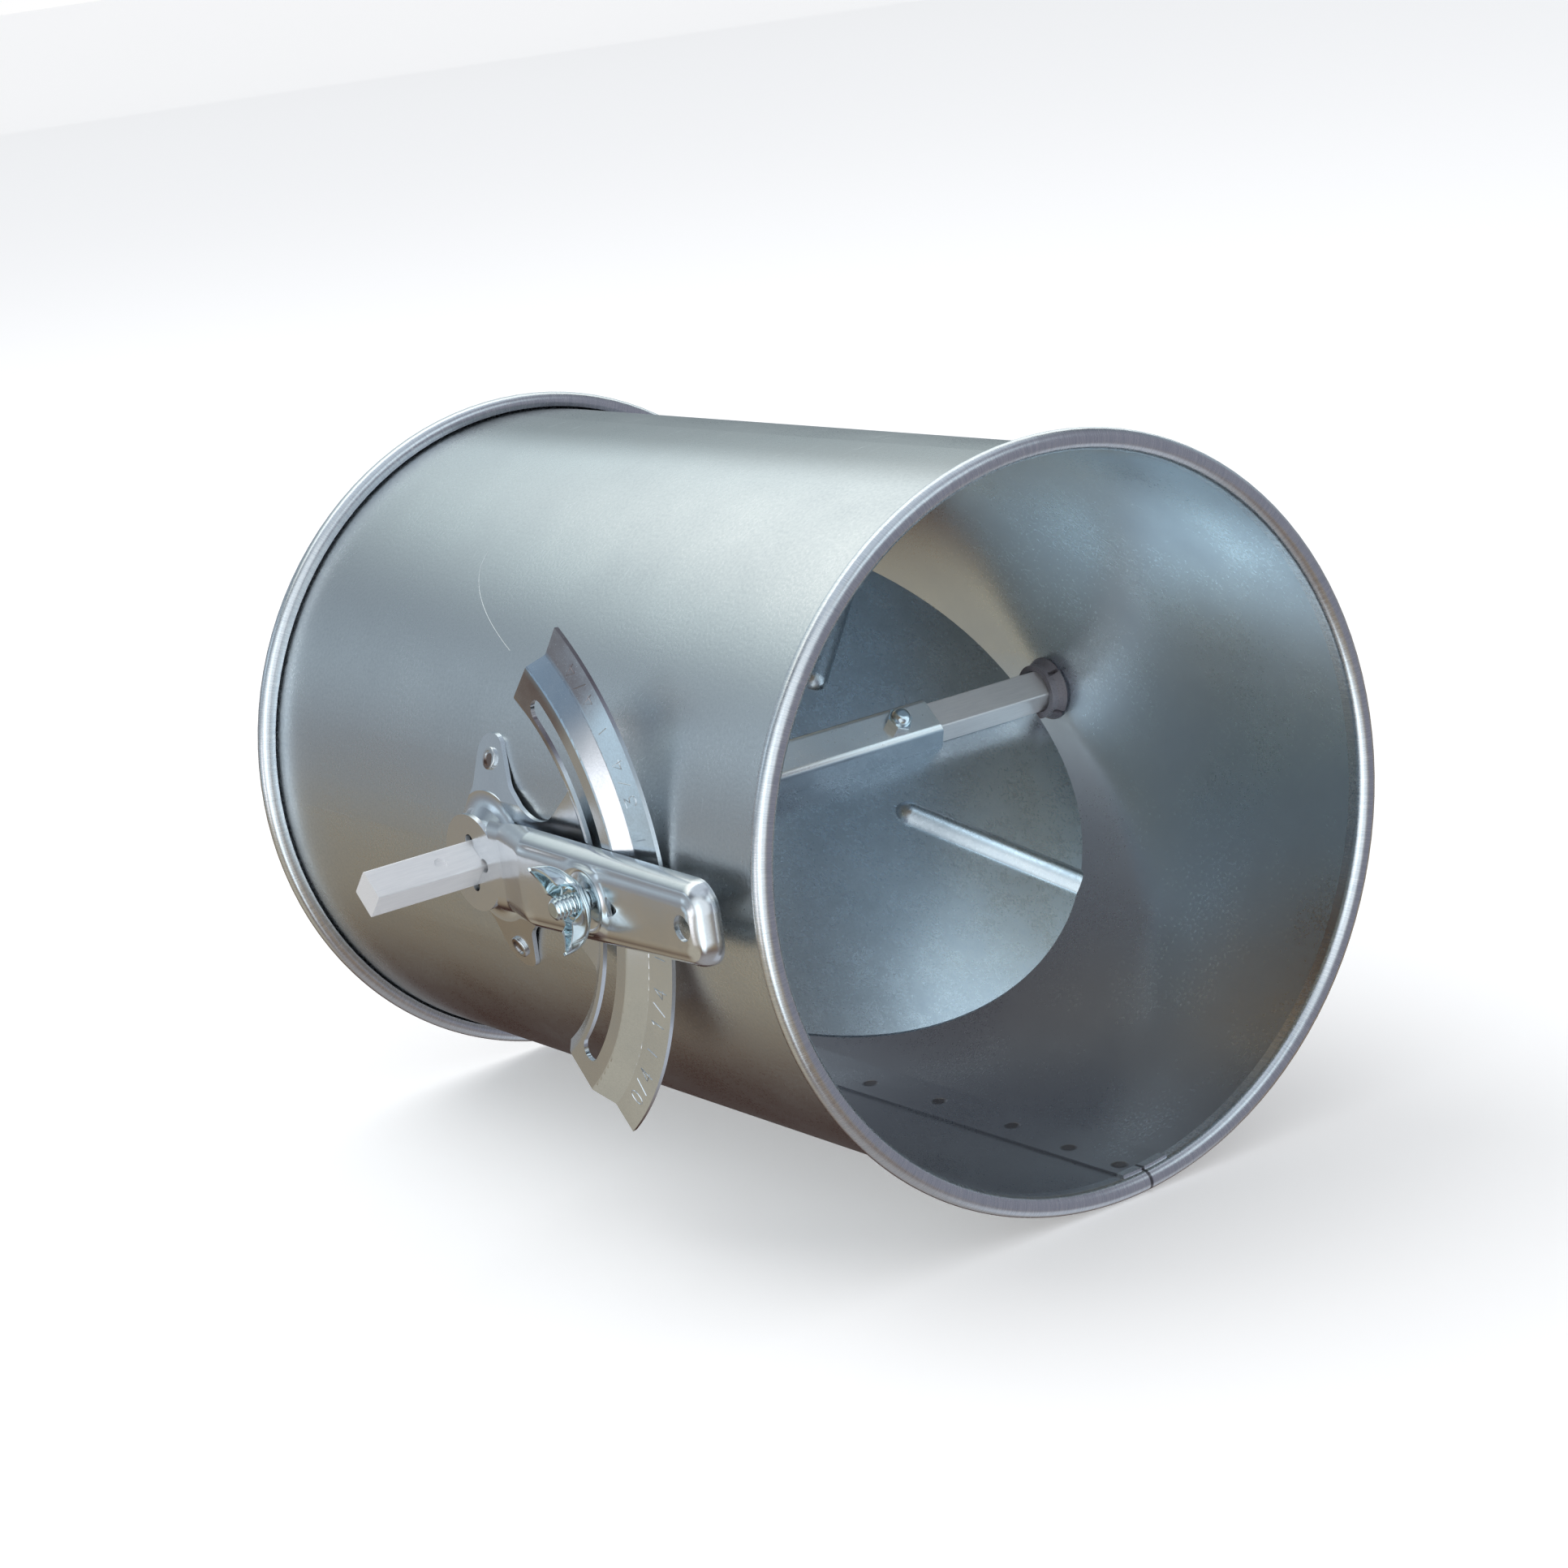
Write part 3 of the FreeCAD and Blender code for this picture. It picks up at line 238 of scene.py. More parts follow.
def set_surface(tree, colour, roughness, metallic, bumps):
    """Sets the shader's colour, roughness and share of metal, and stacks bumps, each a height and its depth."""
    shader = tree.nodes["Principled BSDF"]
    tree.links.new(colour, shader.inputs["Base Color"])
    tree.links.new(roughness, shader.inputs["Roughness"])
    shader.inputs["Metallic"].default_value = metallic
    normal = None
    for height, depth in bumps:
        inputs = {"Height": height, "Distance": depth, "Strength": 1.0}
        if normal:
            inputs["Normal"] = normal
        normal = node(tree, "ShaderNodeBump", inputs).outputs[0]
    tree.links.new(normal, shader.inputs["Normal"])


# Materials

TONES = {
    "duct outside": ((0.74, 0.77, 0.785), (0.56, 0.60, 0.625)),
    # The inside's tones are a lighter copy of the sheet's, painted light for the inside of the duct.
    "duct inside, painted light": ((0.86, 0.95, 1.0), (0.75, 0.83, 0.90)),
    "bead": ((0.70, 0.74, 0.79), (0.93, 0.94, 0.95)),
    "blade": ((0.62, 0.68, 0.73), (0.46, 0.52, 0.57)),
    # The blade's lighter tones are a painted highlight.
    "blade, painted highlight": ((0.90, 0.97, 1.0), (0.74, 0.84, 0.93)),
    # The saddle's two tones are painted highlight on its legs and painted shade on its top.
    "saddle legs, painted highlight": ((1.0, 1.0, 0.98), (0.92, 0.96, 0.96)),
    "saddle top, painted shade": ((0.42, 0.47, 0.52), (0.32, 0.37, 0.42)),
    "plate": ((0.86, 0.90, 0.94), (0.70, 0.75, 0.80)),
    "lever": ((0.88, 0.90, 0.92), (0.72, 0.75, 0.78)),
    "bright zinc": ((0.82, 0.90, 0.93), (0.66, 0.76, 0.80)),
    "rivet": ((0.76, 0.77, 0.78), (0.60, 0.62, 0.64)),
    "bar": ((0.95, 0.95, 0.96), (0.82, 0.83, 0.85)),
    "nylon": ((0.22, 0.20, 0.225), (0.30, 0.28, 0.31)),
}
# Painted shade: the colour that darkens a band along the top of the duct's outside
DUCT_TOP_PAINTED_SHADE = (0.34, 0.36, 0.37)
DUCT_SCUFF = (0.82, 0.86, 0.88)
# Painted shade along the bottom of the duct's inside
INSIDE_BOTTOM_PAINTED_SHADE = (0.56, 0.57, 0.60)
# Painted reflection: a warm tint inside the duct from the top over to the lever's side
INSIDE_PAINTED_WARM_REFLECTION = (0.84, 0.72, 0.55)
WELD_BROWN = (0.17, 0.13, 0.12)
JOINT_DARK = (0.10, 0.09, 0.09)
# Painted reflection: the brown and, on the riser, blue of the quadrant plate's upper end
PAINTED_REFLECTION_BROWN = (0.30, 0.25, 0.26)
PAINTED_REFLECTION_BLUE = (0.42, 0.52, 0.64)
PINHOLE = (0.9, 0.9, 0.92)
RIVET_BROWN = (0.30, 0.23, 0.20)

# The wall's middle radius, the middle between the beads along X, and how far from it they begin
WALL_MIDDLE = 101.2
BEADS_MIDDLE = 1.2
BEAD_START = 133.0
# Angles round the duct go from +Y up; the joint of a bead is dark within these distances, from its edge to its core
BEAD_JOINT = math.radians(-86.0)
JOINT_EDGES = (0.7, 0.25)
SPOT_WELDS = ((11.0, -86.4), (43.0, -85.4), (78.8, -85.8), (107.1, -87.0), (130.1, -87.3))
WELD_SIZE = (2.5, 1.9)
WELD_SOFTNESS = 0.3


def toned(tree, share, name):
    """A named pair of tones mixed by a share."""
    return blend_colour(tree, share, *TONES[name])


def weld_pits(tree, along, round_way):
    """The row of spot welds at the lap seam, each given by its X and its angle in degrees."""
    pits = 0.0
    for x, degrees in SPOT_WELDS:
        centre = (x * MM, math.radians(degrees) * DUCT_RADIUS * MM)
        pits = plus(tree, pits, spot(tree, along, round_way, centre, metres(WELD_SIZE), WELD_SOFTNESS))
    return pits


def duct_inside(tree, degrees, clouds):
    """The colour inside the duct: its tones a lighter copy of the sheet's as painted light, painted shade along the
    bottom, and a painted warm reflection from the top over to the lever's side.
    """
    colour = toned(tree, spread(tree, clouds, 0.0, 0.8), "duct inside, painted light")
    # painted shade along the bottom inside
    colour = blend_colour(tree, plateau(tree, degrees, -150, -110, -62, -28), colour, INSIDE_BOTTOM_PAINTED_SHADE)
    # painted warm reflection inside, from the top over to the lever's side
    return blend_colour(tree, plateau(tree, degrees, 62, 85, 140, 178), colour, INSIDE_PAINTED_WARM_REFLECTION)


def galvanised_duct():
    """Rolled galvanised sheet: leathery grain outside, smoother inside, fine scratches across the beads; painted shade
    along the top, and painted light, shade and reflection inside.
    """
    material, tree = new_material("galvanised_duct")
    along, across, up = parted(tree, object_place(tree))
    angle = maths(tree, "ARCTAN2", up, across)
    degrees = maths(tree, "DEGREES", angle)
    out = reach(tree, across, up)
    round_way = times(tree, angle, DUCT_RADIUS * MM)
    surface = joined(tree, along, round_way)
    inside = maths(tree, "LESS_THAN", out, WALL_MIDDLE * MM)
    bead = maths(tree, "GREATER_THAN", magnitude(tree, minus(tree, along, BEADS_MIDDLE * MM)), BEAD_START * MM)
    plain = minus(tree, 1.0, bead)
    outside = times(tree, minus(tree, 1.0, inside), plain)

    grain = noise(tree, surface, 900, 3.0, 0.62)
    fine = noise(tree, surface, 2600, 2.0, 0.6)
    clouds = noise(tree, surface, 24, 4.0, 0.6)
    waves = noise(tree, surface, 20, 1.5, 0.5)
    scuffs = noise(tree, joined(tree, times(tree, along, 26.0), round_way), 50, 4.0, 0.7)
    marks = noise(tree, joined(tree, along, times(tree, round_way, 20.0), out), 150, 4.0, 0.7)
    scuffed = times(tree, eased(tree, scuffs, 0.60, 0.72), eased(tree, clouds, 0.45, 0.62), outside)
    pits = times(tree, weld_pits(tree, along, round_way), inside)
    from_joint = magnitude(tree, minus(tree, round_way, BEAD_JOINT * DUCT_RADIUS * MM))
    joint = times(tree, bead, eased(tree, from_joint, *metres(JOINT_EDGES)))

    tone = plus(tree, spread(tree, grain, -0.25, 0.35), spread(tree, clouds, 0.0, 0.5))
    colour = toned(tree, tone, "duct outside")
    # painted shade along the top of the duct's outside
    colour = blend_colour(tree, plateau(tree, degrees, 60, 80, 96, 108), colour, DUCT_TOP_PAINTED_SHADE)
    colour = blend_colour(tree, inside, colour, duct_inside(tree, degrees, clouds))
    bead_colour = toned(tree, spread(tree, marks, 0.0, 1.0, 0.35, 0.65), "bead")
    colour = blend_colour(tree, bead, colour, bead_colour)
    colour = blend_colour(tree, scuffed, colour, DUCT_SCUFF)
    colour = blend_colour(tree, times(tree, pits, 0.75), colour, WELD_BROWN)
    colour = blend_colour(tree, times(tree, joint, 0.85), colour, JOINT_DARK)
    rough = plus(tree, spread(tree, grain, 0.25, 0.36), spread(tree, clouds, -0.04, 0.05))
    rough = minus(tree, rough, times(tree, bead, 0.06))
    relief = times(tree, grain, plus(tree, times(tree, outside, 0.8), 0.2), plain)
    set_surface(tree, colour, rough, 1.0, [
        (waves, 0.25 * MM),
        (relief, 0.062 * MM),
        (fine, 0.004 * MM),
        (times(tree, scuffs, outside), 0.010 * MM),
        (times(tree, marks, bead), 0.022 * MM),
        (minus(tree, 0.0, pits), 0.25 * MM),
    ])
    return material


# The blade has a painted highlight where this share of Y, less Z, is over the first edge, and fully from the second on
HIGHLIGHT_SLOPE = 0.6
HIGHLIGHT_EDGES = (44, 66)


def galvanised_blade():
    """Galvanised sheet of the blade: cloudy blue-grey spangle, with a painted highlight that makes it brighter towards
    its low far edge.
    """
    material, tree = new_material("galvanised_blade")
    place = object_place(tree)
    x, y, z = parted(tree, place)
    grain = noise(tree, place, 1100, 3.0, 0.6)
    blots = noise(tree, place, 140, 3.0, 0.6)
    clouds = noise(tree, place, 24, 4.0, 0.6)
    waves = noise(tree, place, 18, 1.5, 0.5)
    tone = plus(tree, spread(tree, grain, -0.15, 0.2), spread(tree, blots, -0.1, 0.3), spread(tree, clouds, -0.1, 0.5))
    low_end = minus(tree, times(tree, y, HIGHLIGHT_SLOPE), z)
    painted_highlight = eased(tree, low_end, *metres(HIGHLIGHT_EDGES))
    # painted highlight towards the blade's low far edge
    colour = blend_colour(tree, painted_highlight, toned(tree, tone, "blade"), toned(tree, tone, "blade, painted highlight"))
    rough = plus(tree, spread(tree, grain, 0.24, 0.33), spread(tree, blots, -0.03, 0.04))
    set_surface(tree, colour, rough, 1.0, [(waves, 0.35 * MM), (grain, 0.006 * MM), (blots, 0.010 * MM)])
    return material


# Distances from the saddle's middle over which its top goes into painted shade
SADDLE_SHADE_EDGES = (5.7, 5.1)


def bright_saddle():
    """The saddle's sheet, smoother than the blade under it: a top in painted shade between legs in painted highlight.
    """
    material, tree = new_material("bright_saddle")
    place = object_place(tree)
    x, y, z = parted(tree, place)
    grain = noise(tree, place, 1100, 3.0, 0.6)
    clouds = noise(tree, place, 60, 4.0, 0.6)
    tone = spread(tree, clouds, 0.0, 1.0)
    from_middle = times(tree, magnitude(tree, plus(tree, x, z)), math.sqrt(0.5))
    top = eased(tree, from_middle, *metres(SADDLE_SHADE_EDGES))
    # painted shade on the saddle's top and painted highlight on its legs
    colour = blend_colour(tree, top, toned(tree, tone, "saddle legs, painted highlight"), toned(tree, tone, "saddle top, painted shade"))
    rough = spread(tree, grain, 0.20, 0.28)
    set_surface(tree, colour, rough, 0.8, [(clouds, 0.03 * MM), (grain, 0.004 * MM)])
    return material


# Angles and distances from the shaft between which the painted reflection sets in, and the distances of the riser
REFLECTION_ANGLES = (32, 41)
REFLECTION_EDGES = (56, 60)
RISER_EDGES = (71, 74.5, 80.5, 82.5)


def plated_pressing():
    """The quadrant plate's zinc: wavy, with pinholes, and an upper end with a painted brown reflection, painted blue
    on its riser.
    """
    material, tree = new_material("plated_pressing")
    place = object_place(tree)
    x, y, z = parted(tree, place)
    out = reach(tree, x, z)
    degrees = maths(tree, "DEGREES", maths(tree, "ARCTAN2", z, x))
    grain = noise(tree, place, 1500, 3.0, 0.6)
    pinholes = noise(tree, place, 3600, 1.0, 0.5)
    clouds = noise(tree, place, 60, 4.0, 0.6)
    waves = noise(tree, place, 45, 1.5, 0.5)
    streaks = noise(tree, stretched(tree, place, 1, 12, 14), 90, 4.0, 0.6)
    tone = plus(tree, spread(tree, grain, -0.1, 0.2), spread(tree, clouds, 0.0, 0.5))
    upper_end = times(tree, eased(tree, degrees, *REFLECTION_ANGLES), eased(tree, out, *metres(REFLECTION_EDGES)))
    # painted dark reflection on the plate's upper end, brown and, on the riser, blue
    painted_reflection = times(tree, upper_end, spread(tree, clouds, 0.62, 0.95))
    riser = plateau(tree, out, *metres(RISER_EDGES))
    reflection_colour = blend_colour(tree, riser, PAINTED_REFLECTION_BROWN, PAINTED_REFLECTION_BLUE)
    colour = blend_colour(tree, painted_reflection, toned(tree, tone, "plate"), reflection_colour)
    colour = blend_colour(tree, times(tree, eased(tree, pinholes, 0.70, 0.76), upper_end), colour, PINHOLE)
    rough = plus(tree, spread(tree, grain, 0.13, 0.19), spread(tree, clouds, -0.02, 0.05))
    set_surface(tree, colour, rough, 1.0, [
        (waves, 0.30 * MM),
        (grain, 0.004 * MM),
        (streaks, 0.004 * MM),
        (pinholes, 0.003 * MM),
    ])
    return material


# Where the lever's face sets in along X and Y, its fall towards its sides per square metre, and the seat of the bolt
FACE_X = (30, 40)
FACE_Y = (-113.5, -114.6)
CROWN = -6.0
SEAT_EDGES = (13.5, 6.5)
SEAT_HEIGHT = 1.6


def lever_pressing():
    """The lever's plated sheet: its face crowned across its width, and raised round the clamp bolt."""
    material, tree = new_material("lever_pressing")
    place = object_place(tree)
    x, y, z = parted(tree, place)
    grain = noise(tree, place, 1500, 3.0, 0.6)
    clouds = noise(tree, place, 60, 4.0, 0.6)
    waves = noise(tree, place, 40, 1.5, 0.5)
    streaks = noise(tree, stretched(tree, place, 1, 10, 16), 100, 4.0, 0.6)
    face = times(tree, eased(tree, x, *metres(FACE_X)), eased(tree, y, *metres(FACE_Y)))
    crown = times(tree, z, z, CROWN, face)
    from_bolt = reach(tree, minus(tree, x, BOLT_X * MM), z)
    seat = times(tree, eased(tree, from_bolt, *metres(SEAT_EDGES)), face, SEAT_HEIGHT * MM)
    tone = plus(tree, spread(tree, grain, -0.1, 0.2), spread(tree, clouds, 0.0, 0.5))
    rough = plus(tree, spread(tree, grain, 0.14, 0.20), spread(tree, clouds, -0.02, 0.05))
    set_surface(tree, toned(tree, tone, "lever"), rough, 1.0, [
        (crown, 1.0),
        (seat, 1.0),
        (waves, 0.20 * MM),
        (grain, 0.004 * MM),
        (streaks, 0.004 * MM),
    ])
    return material


def bright_plate():
    """Glossy zinc plate with a cool tint, for the bolt, the nuts and the washers."""
    material, tree = new_material("bright_zinc_plate")
    place = object_place(tree)
    grain = noise(tree, place, 1800, 3.0, 0.6)
    clouds = noise(tree, place, 160, 3.0, 0.6)
    colour = toned(tree, spread(tree, clouds, 0.0, 1.0), "bright zinc")
    rough = spread(tree, grain, 0.07, 0.15)
    set_surface(tree, colour, rough, 1.0, [(clouds, 0.05 * MM), (grain, 0.003 * MM)])
    return material


RIVET_HEIGHT = 27.3
DISH_EDGES = (2.35, 1.9)


def rivet_plate():
    """Plated rivet whose dished middle is brown."""
    material, tree = new_material("rivet_plate")
    place = object_place(tree)
    x, y, z = parted(tree, place)
    grain = noise(tree, place, 1800, 3.0, 0.6)
    clouds = noise(tree, place, 300, 3.0, 0.6)
    from_middle = reach(tree, x, minus(tree, magnitude(tree, z), RIVET_HEIGHT * MM))
    dish = eased(tree, from_middle, *metres(DISH_EDGES))
    colour = blend_colour(tree, dish, toned(tree, spread(tree, clouds, 0.0, 1.0), "rivet"), RIVET_BROWN)
    set_surface(tree, colour, spread(tree, grain, 0.17, 0.28), 1.0, [(grain, 0.006 * MM)])
    return material


def drawn_bar():
    """Satin aluminium bar with drawing lines along it."""
    material, tree = new_material("drawn_bar")
    place = object_place(tree)
    lines = noise(tree, stretched(tree, place, 22, 1, 22), 110, 4.0, 0.65)
    fine = noise(tree, stretched(tree, place, 12, 1, 12), 500, 3.0, 0.6)
    clouds = noise(tree, place, 60, 3.0, 0.6)
    tone = plus(tree, spread(tree, lines, 0.0, 0.7), spread(tree, clouds, -0.1, 0.3))
    set_surface(tree, toned(tree, tone, "bar"), spread(tree, fine, 0.34, 0.46), 0.35, [
        (lines, 0.006 * MM),
        (fine, 0.002 * MM),
    ])
    return material


def moulded_nylon():
    """Grey-brown satin nylon with a faint moulded grain."""
    material, tree = new_material("nylon_satin")
    place = object_place(tree)
    fine = noise(tree, place, 1800.0)
    clouds = noise(tree, place, 120.0)
    colour = toned(tree, spread(tree, clouds, 0.0, 1.0), "nylon")
    set_surface(tree, colour, spread(tree, fine, 0.24, 0.36), 0.0, [(fine, 0.01 * MM)])
    return material


MATERIALS = {
    "galvanised_sheet": galvanised_duct(),
    "galvanised_blade": galvanised_blade(),
    "bright_saddle": bright_saddle(),
    "zinc_plated_steel": plated_pressing(),
    "lever_pressing": lever_pressing(),
    "bright_zinc": bright_plate(),
    "rivet_steel": rivet_plate(),
    "aluminium_bar": drawn_bar(),
    "nylon": moulded_nylon(),
}
OWN_LOOKS = {"blade_disc": "galvanised_blade", "shaft_saddle": "bright_saddle", "handle_lever": "lever_pressing"}


def dress_nodes():
    """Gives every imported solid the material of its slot, or a look of its own."""
    for part in frame["record"]["subparts"]:
        piece = frame["nodes"][part["node"]]
        look = OWN_LOOKS.get(part["node"], part["material_slot"])
        piece.data.materials.clear()
        piece.data.materials.append(MATERIALS[look])


# Pieces

def put(name, data, material, body, replaced=None):
    """Links a piece, lets it ride on a body, gives it its material and hides the node that it replaces."""
    data.materials.append(material)
    piece = bpy.data.objects.new(name, data)
    bpy.context.scene.collection.objects.link(piece)
    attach(piece, body)
    if replaced:
        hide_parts(replaced)


def wire(name, runs, radius, material, body):
    """Thin raised lines through rows of points; a run that ends where it starts is closed."""
    curve = bpy.data.curves.new(name, "CURVE")
    curve.dimensions = "3D"
    curve.bevel_depth = radius
    curve.bevel_resolution = 2
    curve.use_fill_caps = True
    for run in runs:
        closed = (run[0] - run[-1]).length < 1e-9
        points = run[:-1] if closed else run
        spline = curve.splines.new("POLY")
        spline.points.add(len(points) - 1)
        for point, at in zip(spline.points, points):
            point.co = (*at, 1)
        spline.use_cyclic_u = closed
    put(name, curve, material, body)


# Strokes of each mark on the dial, in a box from (0, 0) to (1, 1)
STROKES = {
    "0": (((0.5, 1), (0.2, 0.93), (0.03, 0.7), (0, 0.5), (0.03, 0.3), (0.2, 0.07), (0.5, 0), (0.8, 0.07), (0.97, 0.3),
           (1, 0.5), (0.97, 0.7), (0.8, 0.93), (0.5, 1)),),
    "1": (((0.2, 0.78), (0.5, 1), (0.5, 0)),),
    "2": (((0, 0.78), (0.15, 0.95), (0.5, 1), (0.85, 0.93), (1, 0.75), (0.85, 0.5), (0, 0), (1, 0)),),
    "3": (((0, 1), (1, 1), (0.45, 0.6), (0.85, 0.55), (1, 0.3), (0.85, 0.06), (0.5, 0), (0.15, 0.05), (0, 0.2)),),
    "4": (((0.75, 0), (0.75, 1), (0, 0.3), (1, 0.3)),),
    "/": (((0.1, -0.02), (0.9, 1.02)),),
    "|": (((0.5, 0.1), (0.5, 0.95)),),
}
DIAL = (
    ("4/4", 41.5), ("|", 32.0), ("3/4", 21.7), ("|", 11.2), ("2/4", 0), ("|", -11.2), ("1/4", -21.7), ("|", -32.0),
    ("0/4", -41.5),
)
DIAL_PITCH = 3.4
# The band falls from the first level to the second; the marks' width is laid out at their middle radius
BAND_RADII = (81, 90)
BAND_LEVELS = (104.8, 103.6)
MARK_FOOT = 87.7
MARK_HEIGHT = 4.7
MARK_WIDTH = 2.7
MARK_MIDDLE = 85
MARK_WIRE = 0.15


def dial_point(radius, degrees):
    """A point on the dial band's sloping face."""
    share = (radius - BAND_RADII[0]) / (BAND_RADII[1] - BAND_RADII[0])
    level = BAND_LEVELS[0] + (BAND_LEVELS[1] - BAND_LEVELS[0]) * share
    turn = math.radians(degrees)
    return Vector((radius * math.cos(turn), -level, radius * math.sin(turn))) * MM


def dial_marks():
    """Quarters and ticks raised on the dial band, their tops towards the hub."""
    runs = []
    for text, middle in DIAL:
        for place, mark in enumerate(text):
            centre = middle + DIAL_PITCH * (place - (len(text) - 1) / 2)
            for stroke in STROKES[mark]:
                run = []
                for across, up in stroke:
                    shift = math.degrees((across - 0.5) * MARK_WIDTH / MARK_MIDDLE)
                    run.append(dial_point(MARK_FOOT - up * MARK_HEIGHT, centre + shift))
                runs.append(run)
    wire("dial_marks", runs, MARK_WIRE * MM, MATERIALS["zinc_plated_steel"], "duct")


# Each the X and the angle round the duct in degrees
SCRATCH_START = (-42, 130.5)
SCRATCH_RUN = (37.8, 16.4)
SCRATCH_BEND = 1.9
SCRATCH_STEPS = 24
SCRATCH_RADIUS = DUCT_RADIUS + 0.01
SCRATCH_WIRE = 0.05


def duct_scratch():
    """One long fine scratch on the outside of the duct, as thin as a hair."""
    run = []
    for step in range(SCRATCH_STEPS + 1):
        share = step / SCRATCH_STEPS
        x = SCRATCH_START[0] + SCRATCH_RUN[0] * share ** SCRATCH_BEND
        turn = math.radians(SCRATCH_START[1] + SCRATCH_RUN[1] * share)
        run.append(Vector((x, SCRATCH_RADIUS * math.cos(turn), SCRATCH_RADIUS * math.sin(turn))) * MM)
    wire("duct_scratch", [run], SCRATCH_WIRE * MM, MATERIALS["bright_saddle"], "duct")


def skin(shape, rings, looped=False):
    """Adds faces through rings of as many points: looped joins the last ring to the first, else both are filled."""
    rows = [[shape.verts.new(point) for point in ring] for ring in rings]
    if looped:
        rows.append(rows[0])
    for lower, upper in zip(rows, rows[1:]):
        for i in range(len(lower)):
            shape.faces.new((lower[i - 1], lower[i], upper[i], upper[i - 1]))
    if not looped:
        shape.faces.new(rows[0])
        shape.faces.new(rows[-1])


def smoothed(shape, crease):
    """Turns the faces outwards and smooths all but the end caps and the edges sharper than a crease in degrees."""
    bmesh.ops.recalc_face_normals(shape, faces=shape.faces)
    for face in shape.faces:
        face.smooth = len(face.verts) == 4
    for edge in shape.edges:
        edge.smooth = edge.calc_face_angle() < math.radians(crease)


def meshed(name, shape):
    """The mesh that a shape gives."""
    mesh = bpy.data.meshes.new(name)
    shape.to_mesh(mesh)
    shape.free()
    return mesh


def signed_power(value, power):
    """A power that keeps the value's sign."""
    return math.copysign(abs(value) ** power, value)


def circle_turns(count):
    """The angles of as many points round a circle."""
    return [2 * math.pi * i / count for i in range(count)]


BOLT_POINTS = 60
# The T head and square neck as rings: level, half size across the slot, half size along it, squareness
BOLT_HEAD = (
    (103.3, 3.7, 6.6, 8),
    (103.6, 4.0, 6.9, 8),
    (105.8, 4.0, 6.9, 8),
    (106.1, 3.8, 6.7, 8),
    (106.1, 3.05, 3.05, 12),
    (108.6, 3.05, 3.05, 12),
    (108.9, 2.8, 2.8, 6),
)
THREAD_START = 109.0
BOLT_END = 124.2
BOLT_TIP = (BOLT_END - 0.01, 2.0, 2.0, 2)
BOLT_RADIUS = 3.175
THREAD_ROOT = 2.55
THREAD_CREST = BOLT_RADIUS - 0.02
THREAD_PITCH = 1.27
THREAD_STEP = 0.07 * THREAD_PITCH
ROOT_SHARE = 0.08
FLANK_SHARE = 0.80
CHAMFER_START = BOLT_END - 0.85
CHAMFER_SLOPE = 1.1


def bolt_ring(level, half_across, half_along, squareness):
    """A ring of points on the bolt: an ellipse when its squareness is 2, nearly a rectangle when it is high."""
    points = []
    for turn in circle_turns(BOLT_POINTS):
        x = half_across * signed_power(math.cos(turn), 2 / squareness)
        z = half_along * signed_power(math.sin(turn), 2 / squareness)
        points.append(Vector((BOLT_X + x, -level, z)) * MM)
    return points


def thread_ring(level):
    """A ring of points on the thread, whose crest goes round once per pitch."""
    chamfer = BOLT_RADIUS - max(0, level - CHAMFER_START) * CHAMFER_SLOPE
    points = []
    for i, turn in enumerate(circle_turns(BOLT_POINTS)):
        phase = (level / THREAD_PITCH - i / BOLT_POINTS) % 1
        crest = min(1, max(0, (1 - abs(2 * phase - 1) - ROOT_SHARE) / FLANK_SHARE))
        radius = min(chamfer, THREAD_ROOT + (THREAD_CREST - THREAD_ROOT) * crest)
        points.append(Vector((BOLT_X + radius * math.cos(turn), -level, radius * math.sin(turn))) * MM)
    return points


def threaded_bolt():
    """The clamp bolt with its T head, square neck and cut thread."""
    steps = int((BOLT_END - THREAD_START) / THREAD_STEP)
    rings = [bolt_ring(*row) for row in BOLT_HEAD]
    rings += [thread_ring(THREAD_START + THREAD_STEP * step) for step in range(steps + 1)]
    rings.append(bolt_ring(*BOLT_TIP))
    shape = bmesh.new()
    skin(shape, rings)
    smoothed(shape, 38)
    mesh = meshed("threaded_bolt", shape)
    put("threaded_bolt", mesh, MATERIALS["bright_zinc"], "clamp_bolt", "clamp_bolt")


WING_TURN = math.radians(-29)
WING_SPAN = 12.9
WING_RISE = 12.0
WING_SHEET = 0.9
# How round the U of the wings and the curl of their sides are, 1 for an ellipse and less for squarer, and how blunt
# their tips are
WING_ARCH = 0.78
WING_CURL = 0.72
WING_TIP = 13
# Half widths of a leaf and of the cup in the middle, and the share of the way out at which the cup fades
LEAF_WIDTH = 3.4
CUP_WIDTH = 7.1
CUP_FADE = 0.34
# How deep the cup's and the leaves' sides curl, and the share of the way out where the one goes over into the other
CUP_DEPTH = 4.1
LEAF_DEPTH = 7.5
DEPTH_START = 0.12
DEPTH_RUN = 0.45

NUT_HOLE = 3.24
NUT_POINTS = 120
NUT_STEPS = 22
# The scale and the power that turn the round hole and the rim into places on the wing surface
HOLE_ALONG = (0.64, 1.28)
HOLE_ACROSS = (0.65, 1.39)
RIM_ALONG = (0.985, 0.8)
RIM_ACROSS = (0.97, 0.9)

COLLAR_POINTS = 64
COLLAR = ((NUT_HOLE, 0.4), (4.9, 0.4), (4.7, 3.2), (4.4, 3.5), (NUT_HOLE + 0.3, 3.5), (NUT_HOLE, 3.2))


